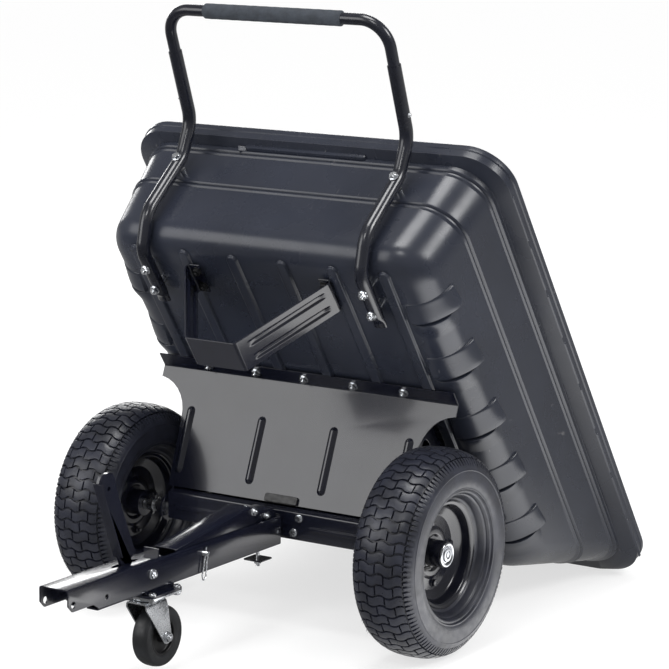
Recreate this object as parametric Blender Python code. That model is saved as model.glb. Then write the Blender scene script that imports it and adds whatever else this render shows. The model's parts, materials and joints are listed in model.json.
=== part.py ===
"""Garden tractor trailer, shown tipped. Metres, +Z up, hitch towards -Y, +X on the right."""
import bpy
import bmesh
from math import acos, asin, atan2, ceil, cos, degrees, hypot, pi, radians, sin, sqrt, tan
from mathutils import Matrix, Vector
from mathutils.geometry import tessellate_polygon

# General clearances and stock
FIT = 0.0003            # gap between pieces that seat on each other
SHEET = 0.0025          # frame sheet
HEAVY_SHEET = 0.003     # drawbar, cross-member and saddle sheet

# Wheels and axle
TYRE_RADIUS = 0.200
TYRE_WIDTH = 0.133
TYRE_WALL = 0.007
TYRE_SIDES = 28
BEAD_SEAT_RADIUS = 0.0975
RIM_LIP_RADIUS = 0.1105
BEAD_WIDTH = 0.010
BEAD_SHOULDER = 0.004
RIM_HALF_WIDTH = 0.0345
RIM_SHEET = 0.0025
RIM_BOLT_CIRCLE = 0.060
RIM_BOLT_COUNT = 4
HALF_TRACK = 0.350
HUB_RADIUS = 0.0255
HUB_HALF_LENGTH = 0.0325
HUB_CAP_RADIUS = 0.0245
HUB_CAP_DEPTH = 0.0052
AXLE_RADIUS = 0.008
VALVE_RADIUS = 0.0042
VALVE_LENGTH = 0.030
AXLE_HEIGHT = TYRE_RADIUS

# Cross-member: C channel open to the rear
CROSS_HALF_LENGTH = 0.250
CROSS_FRONT = -0.0165
CROSS_REAR = 0.015
CROSS_BOTTOM = 0.182
CROSS_TOP = 0.2375
CROSS_BEAD_HEIGHT = 0.208
CROSS_BEAD_START = 0.082
CROSS_BEAD_END = 0.238

# Drawbar: inverted channel with lower lips
DRAWBAR_HALF_WIDTH = 0.0325
DRAWBAR_TOP = 0.2305
DRAWBAR_BOTTOM = 0.1745
DRAWBAR_FRONT = -0.691
DRAWBAR_REAR = -0.034
LIP_SLOT_HALF_WIDTH = 0.0055
LIP_FRONT = -0.601
FORK_BOTTOM = 0.189
FORK_LENGTH = 0.071
HITCH_HOLE = (-0.677, 0.2015)
HITCH_HOLE_RADIUS = 0.0065
SPARE_HOLE = (-0.582, 0.195)
SPARE_HOLE_RADIUS = 0.005
WEB_CUT_FRONT = -0.405
CHEEK_SLOPE_START = -0.340
CHEEK_SLOPE_MIDDLE = (-0.190, 0.2276)
CHEEK_END_TOP = 0.190
REST_TAB_HALF_WIDTH = 0.0165

# Tongue and its bracket
TONGUE_HALF_WIDTH = 0.026
TONGUE_SHEET = 0.0025
TONGUE_FRONT = (-0.366, 0.2345)
TONGUE_TOP_REAR = (-0.126, 0.266)
TONGUE_BOTTOM_REAR = (-0.108, 0.227)
TONGUE_DEPTH = 0.040
BRACKET_FRONT = -0.135
BRACKET_TOP = 0.250
BRACKET_LOW_TOP = 0.2295

# Clamp under the drawbar
CLAMP_Y = -0.065
CLAMP_PLATE_SIDE = 0.041
CLAMP_PLATE_HEIGHT = 0.1465
CLAMP_BOLT_RADIUS = 0.004

# Latch lever
LEVER_PIVOT = (-0.448, 0.207)
LEVER_SHEET = 0.006
LEVER_BOLT_RADIUS = 0.004
LEVER_SLEEVE_RADIUS = 0.0065
LEVER_SLOT_FRONT = -0.526
LEVER_SLOT_REAR = -0.450
LEVER_SLOT_HALF_WIDTH = 0.0052
LEVER_FLANGE_HALF_WIDTH = 0.010

# Lock pin
LOCK_PIN = (-0.290, 0.212)
LOCK_PIN_RADIUS = 0.0045
CLIP_WIRE_RADIUS = 0.0012

# Caster
CASTER_Y = -0.420
CASTER_PLATE_HALF = (0.048, 0.047)
CASTER_PLATE_THICKNESS = 0.004
CASTER_PAD_THICKNESS = 0.0042
CASTER_SPACER = 0.0047
CASTER_SPACER_HALF_WIDTH = 0.030
CASTER_BOLT_PLACES = (0.040, 0.037)
CASTER_RACE_RADIUS = 0.026
CASTER_RACE_HEIGHT = 0.0116
KINGPIN_RADIUS = 0.006
FORK_HALF_WIDTH = 0.0235
FORK_SHEET = 0.003
CASTER_WHEEL_RADIUS = 0.058
CASTER_WHEEL_WIDTH = 0.036
CASTER_WHEEL_Z = 0.0735
CASTER_TRAIL = 0.030
CASTER_AXLE_RADIUS = 0.005

# Tub frame: angles and plates. Tub coordinates are u (to the rear) and n (floor to rim).
TIP_ANGLE = 55.08       # degrees from level to the tipped pose
AXLE_U = 0.174          # axle place along the tub floor
PLATE_TOP_HALF_WIDTH = 0.345
PLATE_LOW_HALF_WIDTH = 0.272
PLATE_BOTTOM_RADIUS = 0.0432
PLATE_ARC_CENTRE = (0.355, 0.182)
PLATE_ARC_RADIUS = 0.078
PLATE_BEND_U = 0.0165
PLATE_FLANGE_LENGTH = 0.0325
PLATE_BEAD_PLACES = (0.0845, 0.2565)
PLATE_BEAD_RANGE = (0.072, 0.2055)
PLATE_BEAD_WIDTH = 0.013
PLATE_BEAD_RISE = 0.0028
FLANGE_BOLT_PITCH = 0.1145
FLANGE_BOLT_U = 0.0
PIVOT_PLATE_X = 0.262
PIVOT_PLATE_THICKNESS = 0.005
PIVOT_HUB_RADIUS = 0.026
BUFFER_HALF_WIDTH = 0.038

# Saddle bracket
SADDLE_DEPTH = 0.200
SADDLE_FRONT = -0.283
SADDLE_REAR = -0.213
SADDLE_HALF_FLAT = 0.055
REST_TAB_RISE = 0.0116  # the saddle's rest over the drawbar's top
FLOOR_OVER_AXLE = DRAWBAR_TOP + REST_TAB_RISE + 2 * FIT + SADDLE_DEPTH - AXLE_HEIGHT
SADDLE_FOOT_X = 0.168
SADDLE_FOOT_LENGTH = 0.030

# Handle
LEG_X = 0.250
LEG_RADIUS = 0.0132
LEG_WALL = 0.0016
BOW_RADIUS = 0.01125
BOW_WALL = 0.0015
BOW_INSERT = 0.060
BOW_TOP_U = -0.653
BOW_CORNER_RADIUS = 0.055
GRIP_RADIUS = 0.0152
GRIP_HALF_LENGTH = 0.1564
TUBE_SIDES = 12

# Tub shell
WALL = 0.0045
FLOOR_FRONT = -0.3415
FLOOR_REAR = 0.4905
SIDE_X = 0.3635
SIDE_SLOPE = 0.137
FRONT_SLOPE = 0.0755
REAR_SLOPE = 0.960
SIDE_FILLET = 0.055
FRONT_FILLET = 0.045
REAR_FILLET = 0.060
PLAN_RADIUS = 0.080
RIM_HALF_WIDTH_X = 0.4295
RIM_FRONT = -0.381
RIM_REAR = 0.7645
RIM_HEIGHT = 0.288
RIM_UNDERSIDE = 0.279
RIM_LIP_BOTTOM = 0.2555
RIM_EDGE_ROUND = 0.004
FLARE_START = 0.2490    # where the wall begins to curve out to the rim
FLARE = [(0.04, 0.2560), (0.16, 0.2610), (0.40, 0.2645), (0.68, 0.2650)]
BEAD_HEIGHTS = (0.145, 0.240)
BEAD_HALF_WIDTH = 0.006
BEAD_RISE = 0.0045
RIB_PLACES = (0.057, 0.171, 0.285)
RIB_HEIGHT = 0.0062
RIB_WIDTH = 0.017
RIB_FRONT = -0.311
RIB_REAR = 0.478
COLLAR_SPANS = ((-0.233, -0.175), (-0.095, -0.030), (0.063, 0.128), (0.212, 0.276), (0.359, 0.419))
COLLAR_RISE = 0.0036
CORNER_STEPS = 5

# Floor bolts
SMALL_BOLT = 0.003
HANDLE_BOLT_U = (-0.281, -0.228)
HANDLE_WALL_BOLT = (-0.404, 0.168)
HANDLE_BUTTON_U = -0.4695

TIP = radians(TIP_ANGLE)


def tipped(u, n):
    """Place of a tub point in the tipped pose, measured from the ground under the axle."""
    y = u - AXLE_U
    z = n + FLOOR_OVER_AXLE
    return y * cos(TIP) + z * sin(TIP), AXLE_HEIGHT + z * cos(TIP) - y * sin(TIP)


# The part's own origin lies under the middle of its length in the tipped pose
AXLE_Y = -(DRAWBAR_FRONT + tipped(RIM_REAR, RIM_HEIGHT)[0]) / 2


# Finishes

def finish(name, colour, roughness, metallic=0.0):
    made = bpy.data.materials.new(name)
    made.use_nodes = True
    shader = made.node_tree.nodes["Principled BSDF"]
    shader.inputs["Base Color"].default_value = (*colour, 1.0)
    shader.inputs["Roughness"].default_value = roughness
    shader.inputs["Metallic"].default_value = metallic
    return made


for old in list(bpy.data.objects):
    bpy.data.objects.remove(old, do_unlink=True)

TUB_PLASTIC = finish("tub_plastic", (0.028, 0.029, 0.033), 0.45)
FRAME_PAINT = finish("frame_paint", (0.012, 0.012, 0.014), 0.25)
TUBE_PAINT = finish("tube_paint", (0.015, 0.015, 0.017), 0.35)
RIM_PAINT = finish("rim_paint", (0.010, 0.010, 0.012), 0.2)
ZINC = finish("zinc", (0.62, 0.63, 0.64), 0.35, 1.0)
CHROME = finish("chrome", (0.80, 0.80, 0.80), 0.15, 1.0)
TYRE_RUBBER = finish("tyre_rubber", (0.035, 0.036, 0.040), 0.75)
CASTER_RUBBER = finish("caster_rubber", (0.060, 0.062, 0.068), 0.7)
BLACK_PLASTIC = finish("black_plastic", (0.012, 0.012, 0.013), 0.5)
FOAM = finish("foam", (0.022, 0.026, 0.032), 0.9)
STEEL = finish("steel_bar", (0.45, 0.45, 0.46), 0.4, 1.0)


# Empties: the part's origin, and one on each joint's axis

def empty(name, place, parent=None, tilt=0.0):
    made = bpy.data.objects.new(name, None)
    bpy.context.collection.objects.link(made)
    made.location = place
    made.rotation_euler = (tilt, 0, 0)
    made.parent = parent
    return made


origin = empty("trailer_origin", (0, AXLE_Y, 0))
tub_pivot = empty("tub_pivot", (0, 0, AXLE_HEIGHT), origin, -TIP)
lever_pivot = empty("lever_pivot", (0, *LEVER_PIVOT), origin)
pin_axis = empty("pin_axis", (0, *LOCK_PIN), origin)
caster_swivel = empty("caster_swivel", (0, CASTER_Y, 0), origin)
caster_centre = empty("caster_centre", (0, CASTER_TRAIL, CASTER_WHEEL_Z), caster_swivel)
wheel_centre = {side: empty("wheel_centre_" + side, (sign * HALF_TRACK, 0, AXLE_HEIGHT), origin)
                for side, sign in (("right", 1), ("left", -1))}


# Mesh helpers

def add_object(name, shape, material=None, parent=None, sharp=35.0):
    """Turn a bmesh into an object with its faces pointing out and its round faces smooth."""
    bmesh.ops.remove_doubles(shape, verts=shape.verts, dist=1e-6)
    bmesh.ops.recalc_face_normals(shape, faces=shape.faces)
    mesh = bpy.data.meshes.new(name)
    shape.to_mesh(mesh)
    shape.free()
    made = bpy.data.objects.new(name, mesh)
    bpy.context.collection.objects.link(made)
    dress(made, material, parent, sharp)
    return made


def dress(made, material, parent, sharp=35.0):
    if material:
        made.data.materials.clear()
        made.data.materials.append(material)
        made.data.shade_smooth()
        made.data.set_sharp_from_angle(angle=radians(sharp))
    if parent:
        made.parent = parent
    return made


def combine(target, tool, operation):
    """Apply an exact boolean with one tool object, which is then removed."""
    step = target.modifiers.new(operation.title(), "BOOLEAN")
    step.operation = operation
    step.solver = "EXACT"
    step.object = tool
    tool.hide_render = True
    tool.display_type = "WIRE"
    bpy.context.view_layer.update()
    graph = bpy.context.evaluated_depsgraph_get()
    result = bpy.data.meshes.new_from_object(target.evaluated_get(graph))
    target.modifiers.clear()
    target.data = result
    bpy.data.objects.remove(tool, do_unlink=True)
    return target


def loft(shape, rings, wrap=False):
    """Join rings of equal point count; the ends are capped, or meet when wrap is set."""
    rows = [[shape.verts.new(point) for point in ring] for ring in rings]
    count = len(rows[0])
    pairs = list(zip(rows, rows[1:])) + ([(rows[-1], rows[0])] if wrap else [])
    for low, high in pairs:
        for i in range(count):
            k = (i + 1) % count
            shape.faces.new((low[i], low[k], high[k], high[i]))
    if not wrap:
        shape.faces.new(rows[0])
        shape.faces.new(rows[-1])
    return rows


def placed(axis, a, b, along):
    """Point from plane coordinates a, b and a distance along X, Y or Z."""
    if axis == "X":
        return Vector((along, a, b))
    if axis == "Y":
        return Vector((a, along, b))
    return Vector((a, b, along))


def prism(shape, axis, outline, start, end, holes=()):
    """Extrude a flat outline, with round or shaped holes, between two distances."""
    loops = [list(outline)] + [list(hole) for hole in holes]
    flat = [point for loop in loops for point in loop]
    low = [shape.verts.new(placed(axis, a, b, start)) for a, b in flat]
    high = [shape.verts.new(placed(axis, a, b, end)) for a, b in flat]
    for face in tessellate_polygon([[Vector((a, b, 0)) for a, b in loop] for loop in loops]):
        shape.faces.new([low[i] for i in face])
        shape.faces.new([high[i] for i in face])
    first = 0
    for loop in loops:
        count = len(loop)
        for i in range(count):
            k = (i + 1) % count
            shape.faces.new((low[first + i], low[first + k], high[first + k], high[first + i]))
        first += count


def circle(a, b, radius, sides=12, phase=0.0):
    return [(a + radius * cos(phase + 2 * pi * i / sides), b + radius * sin(phase + 2 * pi * i / sides))
            for i in range(sides)]


def box_outline(a0, b0, a1, b1):
    return [(a0, b0), (a1, b0), (a1, b1), (a0, b1)]


def rounded(points, radius, steps=3, closed=True):
    """Replace the corners of a path by arcs. The radius is one value or one for each corner."""
    points = [Vector((*p, 0)) if len(p) == 2 else Vector(p) for p in points]
    count = len(points)
    radii = list(radius) if isinstance(radius, (list, tuple)) else [radius] * count
    path = []
    for i, corner in enumerate(points):
        inner = closed or 0 < i < count - 1
        if not inner or radii[i] <= 0:
            path.append(corner)
            continue
        before = (points[i - 1] - corner).normalized()
        after = (points[(i + 1) % count] - corner).normalized()
        spread = before.angle(after)
        centre = corner + (before + after).normalized() * radii[i] / sin(spread / 2)
        reach = radii[i] / tan(spread / 2)
        first = corner + before * reach - centre
        last = corner + after * reach - centre
        turn = pi - spread
        for s in range(steps + 1):
            part = s / steps
            path.append(centre + (first * sin((1 - part) * turn) + last * sin(part * turn)) / sin(turn))
    return path


def flat(points):
    return [(p[0], p[1]) for p in points]


def strip(path, thickness, side=1):
    """Outline of bent sheet: an open path and its offset to one side."""
    path = [Vector(p[:2]) for p in path]
    other = []
    for i, point in enumerate(path):
        before = (point - path[i - 1]).normalized() if i else None
        after = (path[i + 1] - point).normalized() if i + 1 < len(path) else None
        before = before or after
        after = after or before
        normal = Vector((-before.y - after.y, before.x + after.x)).normalized()
        scale = 1 / max(0.2, normal.dot(Vector((-before.y, before.x))))
        other.append(point + normal * scale * thickness * side)
    return [tuple(p) for p in path] + [tuple(p) for p in reversed(other)]


def turned(shape, axis, profile, sides, ring=False, centre=(0, 0, 0), phase=0.0):
    """Turn a profile of (radius, place) round an axis: a solid, or a ring when it closes on itself."""
    centre = Vector(centre)
    rings = []
    for radius, place in profile:
        rings.append([centre + placed(axis, a, b, place) for a, b in circle(0, 0, radius, sides, phase)])
    loft(shape, rings, wrap=ring)


def hex_radius(across_flats):
    return across_flats / sqrt(3)


def bolt(shape, axis, centre, sections, phase=0.0):
    """One closed fastener of six sides from (place, radius) pairs along its axis."""
    turned(shape, axis, [(radius, place) for place, radius in sections], 6, centre=centre, phase=phase)


def tube(shape, path, radius, wall, side_axis, sides=TUBE_SIDES):
    """Hollow tube along a planar path, open at both ends; side_axis is square to the plane."""
    side_axis = Vector(side_axis).normalized()

    def rings(r):
        made = []
        for i, point in enumerate(path):
            before = (point - path[i - 1]).normalized() if i else None
            after = (path[i + 1] - point).normalized() if i + 1 < len(path) else None
            along = ((before or after) + (after or before)).normalized()
            across = along.cross(side_axis).normalized()
            made.append([point + side_axis * r * cos(2 * pi * k / sides) + across * r * sin(2 * pi * k / sides)
                         for k in range(sides)])
        return made

    loft(shape, rings(radius) + rings(radius - wall)[::-1], wrap=True)


def stadium(a0, a1, b, width, steps=4, along_b=False):
    """Slot outline from a0 to a1 with round ends, centred on b."""
    r = width / 2
    ends = [(a1 - r + r * sin(pi * i / steps), b - r * cos(pi * i / steps)) for i in range(steps + 1)]
    ends += [(a0 + r - r * sin(pi * i / steps), b + r * cos(pi * i / steps)) for i in range(steps + 1)]
    return [(y, x) for x, y in ends] if along_b else ends


def ridge(shape, axis, outline_low, outline_high, low, high):
    """Raised form between two outlines of equal point count."""
    loft(shape, [[placed(axis, a, b, low) for a, b in outline_low],
                 [placed(axis, a, b, high) for a, b in outline_high]])


def lowered(u, n):
    """Tub coordinates to the level frame about the axle axis."""
    return u - AXLE_U, n + FLOOR_OVER_AXLE


# Wheels

def tyre_profile(width, radius, wall):
    """Section of the tyre as a closed ring: outer curve, bead, inner curve, bead."""
    half = width / 2
    middle = (radius + BEAD_SEAT_RADIUS + 0.0065) / 2
    height = radius - middle
    outer = []
    for i in range(11):
        turn = radians(-150 + 30 * i)
        x = half * abs(sin(turn)) ** 0.8 * (1 if turn > 0 else -1)
        rise = height * abs(cos(turn)) ** 0.75 * (1 if cos(turn) > 0 else -1)
        outer.append((middle + rise, x))
    toe = RIM_HALF_WIDTH - RIM_SHEET - FIT
    seat = BEAD_SEAT_RADIUS + RIM_SHEET / 2 + FIT
    inner_toe = toe - BEAD_WIDTH
    lip = RIM_LIP_RADIUS / cos(pi / TYRE_SIDES) + FIT
    shoulder = lip + BEAD_SHOULDER
    inner = []
    for i in range(5):
        turn = radians(120 - 60 * i)
        x = (half - wall) * abs(sin(turn)) ** 0.8 * (1 if turn > 0 else -1)
        rise = (height - wall) * abs(cos(turn)) ** 0.75 * (1 if cos(turn) > 0 else -1)
        inner.append((middle + rise, x))
    outer[0] = (lip, -toe)
    outer[-1] = (lip, toe)
    return (outer + [(seat + 0.0008, toe), (seat + 0.0004, inner_toe), (shoulder, inner_toe)] + inner
            + [(shoulder, -inner_toe), (seat + 0.0004, -inner_toe), (seat + 0.0008, -toe)])


def make_wheel(side, sign):
    centre = wheel_centre[side]
    flats = TYRE_RADIUS / cos(pi / TYRE_SIDES)
    shape = bmesh.new()
    turned(shape, "X", tyre_profile(TYRE_WIDTH, flats, TYRE_WALL), TYRE_SIDES, ring=True,
           phase=pi / TYRE_SIDES)
    add_object("tyre_" + side, shape, TYRE_RUBBER, centre, 40)

    inner_face = FIT / 2
    for half, way in (("outer", sign), ("inner", -sign)):
        path = rounded([(inner_face, HUB_RADIUS + FIT), (inner_face, 0.070), (0.010, BEAD_SEAT_RADIUS - 0.004),
                        (RIM_HALF_WIDTH - RIM_SHEET, BEAD_SEAT_RADIUS), (RIM_HALF_WIDTH - RIM_SHEET, RIM_LIP_RADIUS)],
                       [0, 0.008, 0.006, 0, 0], 1, closed=False)
        outline = strip(path, RIM_SHEET, -1)
        shape = bmesh.new()
        turned(shape, "X", [(r, way * x) for x, r in outline], 20, ring=True)
        add_object("rim_%s_%s" % (half, side), shape, RIM_PAINT, centre, 40)

    fasteners = bmesh.new()
    cut = bmesh.new()
    disc = RIM_SHEET + FIT / 2
    for i in range(RIM_BOLT_COUNT):
        turn = radians(5) + 2 * pi * i / RIM_BOLT_COUNT
        y, z = RIM_BOLT_CIRCLE * cos(turn), RIM_BOLT_CIRCLE * sin(turn)
        bolt(fasteners, "X", (0, y, z), [(sign * x, r) for x, r in
                                         ((-disc - 0.0060, 0.0056), (0.0008 - disc, 0.0056),
                                          (0.0008 - disc, 0.0030), (disc + FIT, 0.0030), (disc + FIT, 0.0058),
                                          (disc + 0.0050, 0.0058))])
        prism(cut, "X", circle(y, z, 0.0034, 8), -0.02, 0.02)
    rim = bpy.data.objects["rim_outer_" + side]
    rim.parent = None
    dress(combine(rim, add_object("rim_hole_cutter", cut), "DIFFERENCE"), RIM_PAINT, centre, 40)
    rim = bpy.data.objects["rim_inner_" + side]
    rim.parent = None
    dress(combine(rim, add_object("rim_bolts", fasteners), "UNION"), RIM_PAINT, centre, 40)

    shape = bmesh.new()
    weld = RIM_SHEET + 2 * FIT
    bore = AXLE_RADIUS + FIT
    half = HUB_HALF_LENGTH
    turned(shape, "X", [(bore, -half), (HUB_RADIUS, -half), (HUB_RADIUS, -weld - 0.005), (HUB_RADIUS + 0.004, -weld),
                        (HUB_RADIUS, -weld), (HUB_RADIUS, weld), (HUB_RADIUS + 0.004, weld),
                        (HUB_RADIUS, weld + 0.005), (HUB_RADIUS, half), (bore, half)], 20, ring=True)
    add_object("wheel_hub_" + side, shape, RIM_PAINT, centre, 40)

    shape = bmesh.new()
    start = HUB_HALF_LENGTH + FIT
    top = start + HUB_CAP_DEPTH
    skirt = HUB_CAP_RADIUS - 0.003
    turned(shape, "X", [(r, sign * x) for r, x in
                        ((skirt, top - 0.0018), (skirt, start), (HUB_CAP_RADIUS, start),
                         (HUB_CAP_RADIUS, top - 0.0012), (HUB_CAP_RADIUS - 0.0015, top))], 16)
    add_object("hub_cap_" + side, shape, CHROME, centre, 40)

    shape = bmesh.new()
    turned(shape, "Z", [(0.0075, 0), (0.0070, 0.004), (VALVE_RADIUS, 0.007), (VALVE_RADIUS, VALVE_LENGTH - 0.011),
                        (VALVE_RADIUS * 0.8, VALVE_LENGTH - 0.010), (VALVE_RADIUS * 0.8, VALVE_LENGTH)], 6)
    lean = Matrix.Rotation(sign * radians(30), 4, "Y")
    place = Matrix.Translation((sign * 0.0215, 0, -BEAD_SEAT_RADIUS + 0.0085))
    around = Matrix.Rotation(radians(-80), 4, "X")
    bmesh.ops.transform(shape, matrix=around @ place @ lean, verts=shape.verts)
    add_object("valve_stem_" + side, shape, BLACK_PLASTIC, centre)


for wheel_side, wheel_sign in (("right", 1), ("left", -1)):
    make_wheel(wheel_side, wheel_sign)


# Axle bar with its washers, spacers and split pins

HUB_INNER_X = HALF_TRACK - HUB_HALF_LENGTH
AXLE_END_X = HALF_TRACK + HUB_HALF_LENGTH + 0.0025
COTTER_X = 0.2905
axle_shape = bmesh.new()
turned(axle_shape, "X", [(AXLE_RADIUS - 0.001, -AXLE_END_X), (AXLE_RADIUS, 0.001 - AXLE_END_X),
                         (AXLE_RADIUS, AXLE_END_X - 0.001), (AXLE_RADIUS - 0.001, AXLE_END_X)], 16,
       centre=(0, 0, AXLE_HEIGHT))
axle = add_object("axle", axle_shape)
COTTER_TURN = radians(38)
for way in (1, -1):
    piece = bmesh.new()
    turned(piece, "Z", [(0.0018, -0.0205), (0.0018, 0.0085), (0.0026, 0.0095), (0.0044, 0.0115), (0.0044, 0.0150),
                        (0.0022, 0.0175)], 8)
    bmesh.ops.transform(piece, matrix=Matrix.Translation((way * COTTER_X, 0, AXLE_HEIGHT))
                        @ Matrix.Rotation(-COTTER_TURN, 4, "X") @ Matrix.Scale(0.62, 4, (1, 0, 0)),
                        verts=piece.verts)
    axle = combine(axle, add_object("split_pin", piece), "UNION")
dress(axle, STEEL, origin)

PIVOT_OUTER_X = PIVOT_PLATE_X + PIVOT_PLATE_THICKNESS / 2
PIVOT_INNER_X = PIVOT_PLATE_X - PIVOT_PLATE_THICKNESS / 2
COTTER_ROOM = 0.0030
AXLE_RINGS = (("cross_washer", CROSS_HALF_LENGTH + FIT, PIVOT_INNER_X - FIT, 0.015),
              ("pivot_spacer", PIVOT_OUTER_X + FIT, COTTER_X - COTTER_ROOM, 0.0125),
              ("hub_spacer", COTTER_X + COTTER_ROOM, HUB_INNER_X - FIT, 0.0125),
              ("end_washer", HALF_TRACK + HUB_HALF_LENGTH + FIT, AXLE_END_X - 0.0006, 0.013))
for ring_name, x0, x1, outer in AXLE_RINGS:
    for ring_side, way in (("right", 1), ("left", -1)):
        shape = bmesh.new()
        bore = AXLE_RADIUS + FIT
        turned(shape, "X", [(bore, way * x0), (outer, way * x0), (outer, way * x1), (bore, way * x1)], 12, ring=True,
               centre=(0, 0, AXLE_HEIGHT))
        add_object(ring_name + "_" + ring_side, shape, ZINC, origin)


# Cross-member

def c_channel_outline():
    path = rounded([(CROSS_REAR, CROSS_BOTTOM), (CROSS_FRONT, CROSS_BOTTOM), (CROSS_FRONT, CROSS_TOP),
                    (CROSS_REAR, CROSS_TOP)], [0, 0.003, 0.003, 0], 2, closed=False)
    return strip(path, HEAVY_SHEET, -1)


cross_shape = bmesh.new()
prism(cross_shape, "X", c_channel_outline(), -CROSS_HALF_LENGTH, CROSS_HALF_LENGTH)
cross_member = add_object("cross_member", cross_shape)
cross_ends = bmesh.new()
for way in (1, -1):
    inner = way * (CROSS_HALF_LENGTH - HEAVY_SHEET)
    prism(cross_ends, "X", box_outline(CROSS_FRONT + 0.001, CROSS_BOTTOM + 0.001, CROSS_REAR, CROSS_TOP - 0.001),
          inner, way * CROSS_HALF_LENGTH, [circle(0, AXLE_HEIGHT, AXLE_RADIUS + FIT, 16)])
for way in (1, -1):
    low = stadium(way * CROSS_BEAD_START if way > 0 else -CROSS_BEAD_END,
                  way * CROSS_BEAD_END if way > 0 else -CROSS_BEAD_START, CROSS_BEAD_HEIGHT, 0.012, 2)
    high = stadium(way * CROSS_BEAD_START + 0.003 if way > 0 else -CROSS_BEAD_END + 0.003,
                   way * CROSS_BEAD_END - 0.003 if way > 0 else -CROSS_BEAD_START - 0.003,
                   CROSS_BEAD_HEIGHT, 0.006, 2)
    ridge(cross_ends, "Y", low, high, CROSS_FRONT + 0.001, CROSS_FRONT - 0.0026)
cross_member = combine(cross_member, add_object("cross_adds", cross_ends), "UNION")
CROSS_BOLTS = ((0.0625, 0.2265), (0.050, 0.1965))
EAR_BACK = CROSS_FRONT + 2 * HEAVY_SHEET + FIT
cross_bolts = bmesh.new()
for x, z in CROSS_BOLTS:
    nut = z > AXLE_HEIGHT + AXLE_RADIUS
    for way in (1, -1):
        sections = [(CROSS_FRONT - 0.0050, 0.0056), (CROSS_FRONT + 0.001, 0.0056),
                    (CROSS_FRONT + 0.001, SMALL_BOLT), (EAR_BACK + FIT, SMALL_BOLT)]
        if nut:
            sections += [(EAR_BACK + FIT, 0.0055), (EAR_BACK + 0.0045, 0.0055)]
        bolt(cross_bolts, "Y", (way * x, 0, z), sections)
cross_member = combine(cross_member, add_object("cross_bolts", cross_bolts), "UNION")
dress(cross_member, FRAME_PAINT, origin)

# Pressed bracket inside the channel: ears on the web, cheeks bored for the bar
EAR_OUTER = 0.0725
CHEEK_X = 0.0385
axle_bracket_path = rounded([(EAR_OUTER, CROSS_FRONT + HEAVY_SHEET + FIT), (CHEEK_X, CROSS_FRONT + HEAVY_SHEET + FIT),
                             (CHEEK_X, CROSS_REAR - HEAVY_SHEET), (-CHEEK_X, CROSS_REAR - HEAVY_SHEET),
                             (-CHEEK_X, CROSS_FRONT + HEAVY_SHEET + FIT),
                             (-EAR_OUTER, CROSS_FRONT + HEAVY_SHEET + FIT)],
                            [0, 0.001, 0.004, 0.004, 0.001, 0], 2, closed=False)
bracket_shape = bmesh.new()
prism(bracket_shape, "Z", strip(axle_bracket_path, HEAVY_SHEET, -1), CROSS_BOTTOM + HEAVY_SHEET + FIT,
      CROSS_TOP - HEAVY_SHEET - FIT)
axle_bracket = add_object("axle_bracket", bracket_shape)
bracket_cut = bmesh.new()
turned(bracket_cut, "X", [(AXLE_RADIUS + FIT, -0.1), (AXLE_RADIUS + FIT, 0.1)], 16, centre=(0, 0, AXLE_HEIGHT))
axle_bracket = combine(axle_bracket, add_object("bracket_cutter", bracket_cut), "DIFFERENCE")
bracket_cut = bmesh.new()
for x, z in CROSS_BOLTS:
    for way in (1, -1):
        prism(bracket_cut, "Y", circle(way * x, z, SMALL_BOLT + FIT, 8), CROSS_FRONT, CROSS_FRONT + 0.0105)
axle_bracket = combine(axle_bracket, add_object("bracket_cutter", bracket_cut), "DIFFERENCE")
dress(axle_bracket, FRAME_PAINT, origin)

# Drawbar

def drawbar_outline():
    half, top, low, slot = DRAWBAR_HALF_WIDTH, DRAWBAR_TOP, DRAWBAR_BOTTOM, LIP_SLOT_HALF_WIDTH
    path = rounded([(slot, low), (half, low), (half, top), (-half, top), (-half, low), (-slot, low)],
                   [0, 0.003, 0.0045, 0.0045, 0.003, 0], 2, closed=False)
    return strip(path, HEAVY_SHEET, 1)


drawbar_shape = bmesh.new()
prism(drawbar_shape, "Y", drawbar_outline(), DRAWBAR_FRONT, DRAWBAR_REAR)
drawbar = add_object("drawbar", drawbar_shape)
drawbar_inner = DRAWBAR_HALF_WIDTH - HEAVY_SHEET
tab_shape = bmesh.new()
prism(tab_shape, "X", flat(rounded([(WEB_CUT_FRONT - 0.020, DRAWBAR_TOP - 0.0027), (WEB_CUT_FRONT + 0.0, DRAWBAR_TOP - 0.0027),
                                    (WEB_CUT_FRONT, DRAWBAR_TOP + REST_TAB_RISE),
                                    (WEB_CUT_FRONT - HEAVY_SHEET, DRAWBAR_TOP + REST_TAB_RISE),
                                    (WEB_CUT_FRONT - HEAVY_SHEET, DRAWBAR_TOP - 0.0003),
                                    (WEB_CUT_FRONT - 0.020, DRAWBAR_TOP - 0.0003)], 0)),
      -REST_TAB_HALF_WIDTH, REST_TAB_HALF_WIDTH)
drawbar_cut = bmesh.new()
fork_back = DRAWBAR_FRONT + FORK_LENGTH
prism(drawbar_cut, "X", flat(rounded([(DRAWBAR_FRONT - 0.02, DRAWBAR_BOTTOM - 0.02), (LIP_FRONT - 0.004, DRAWBAR_BOTTOM - 0.02),
                                      (LIP_FRONT - 0.004, DRAWBAR_BOTTOM + 0.0045), (fork_back, FORK_BOTTOM),
                                      (DRAWBAR_FRONT - 0.02, FORK_BOTTOM)], [0, 0, 0.003, 0.006, 0], 2)), -0.05, 0.05)
prism(drawbar_cut, "Y", box_outline(-drawbar_inner + 0.0015, DRAWBAR_TOP - HEAVY_SHEET - 0.002,
                                    drawbar_inner - 0.0015, DRAWBAR_TOP + 0.02), WEB_CUT_FRONT, 0.01)
drawbar = combine(drawbar, add_object("drawbar_cutter", drawbar_cut), "DIFFERENCE")
drawbar = combine(drawbar, add_object("drawbar_tab", tab_shape), "UNION")
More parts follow.
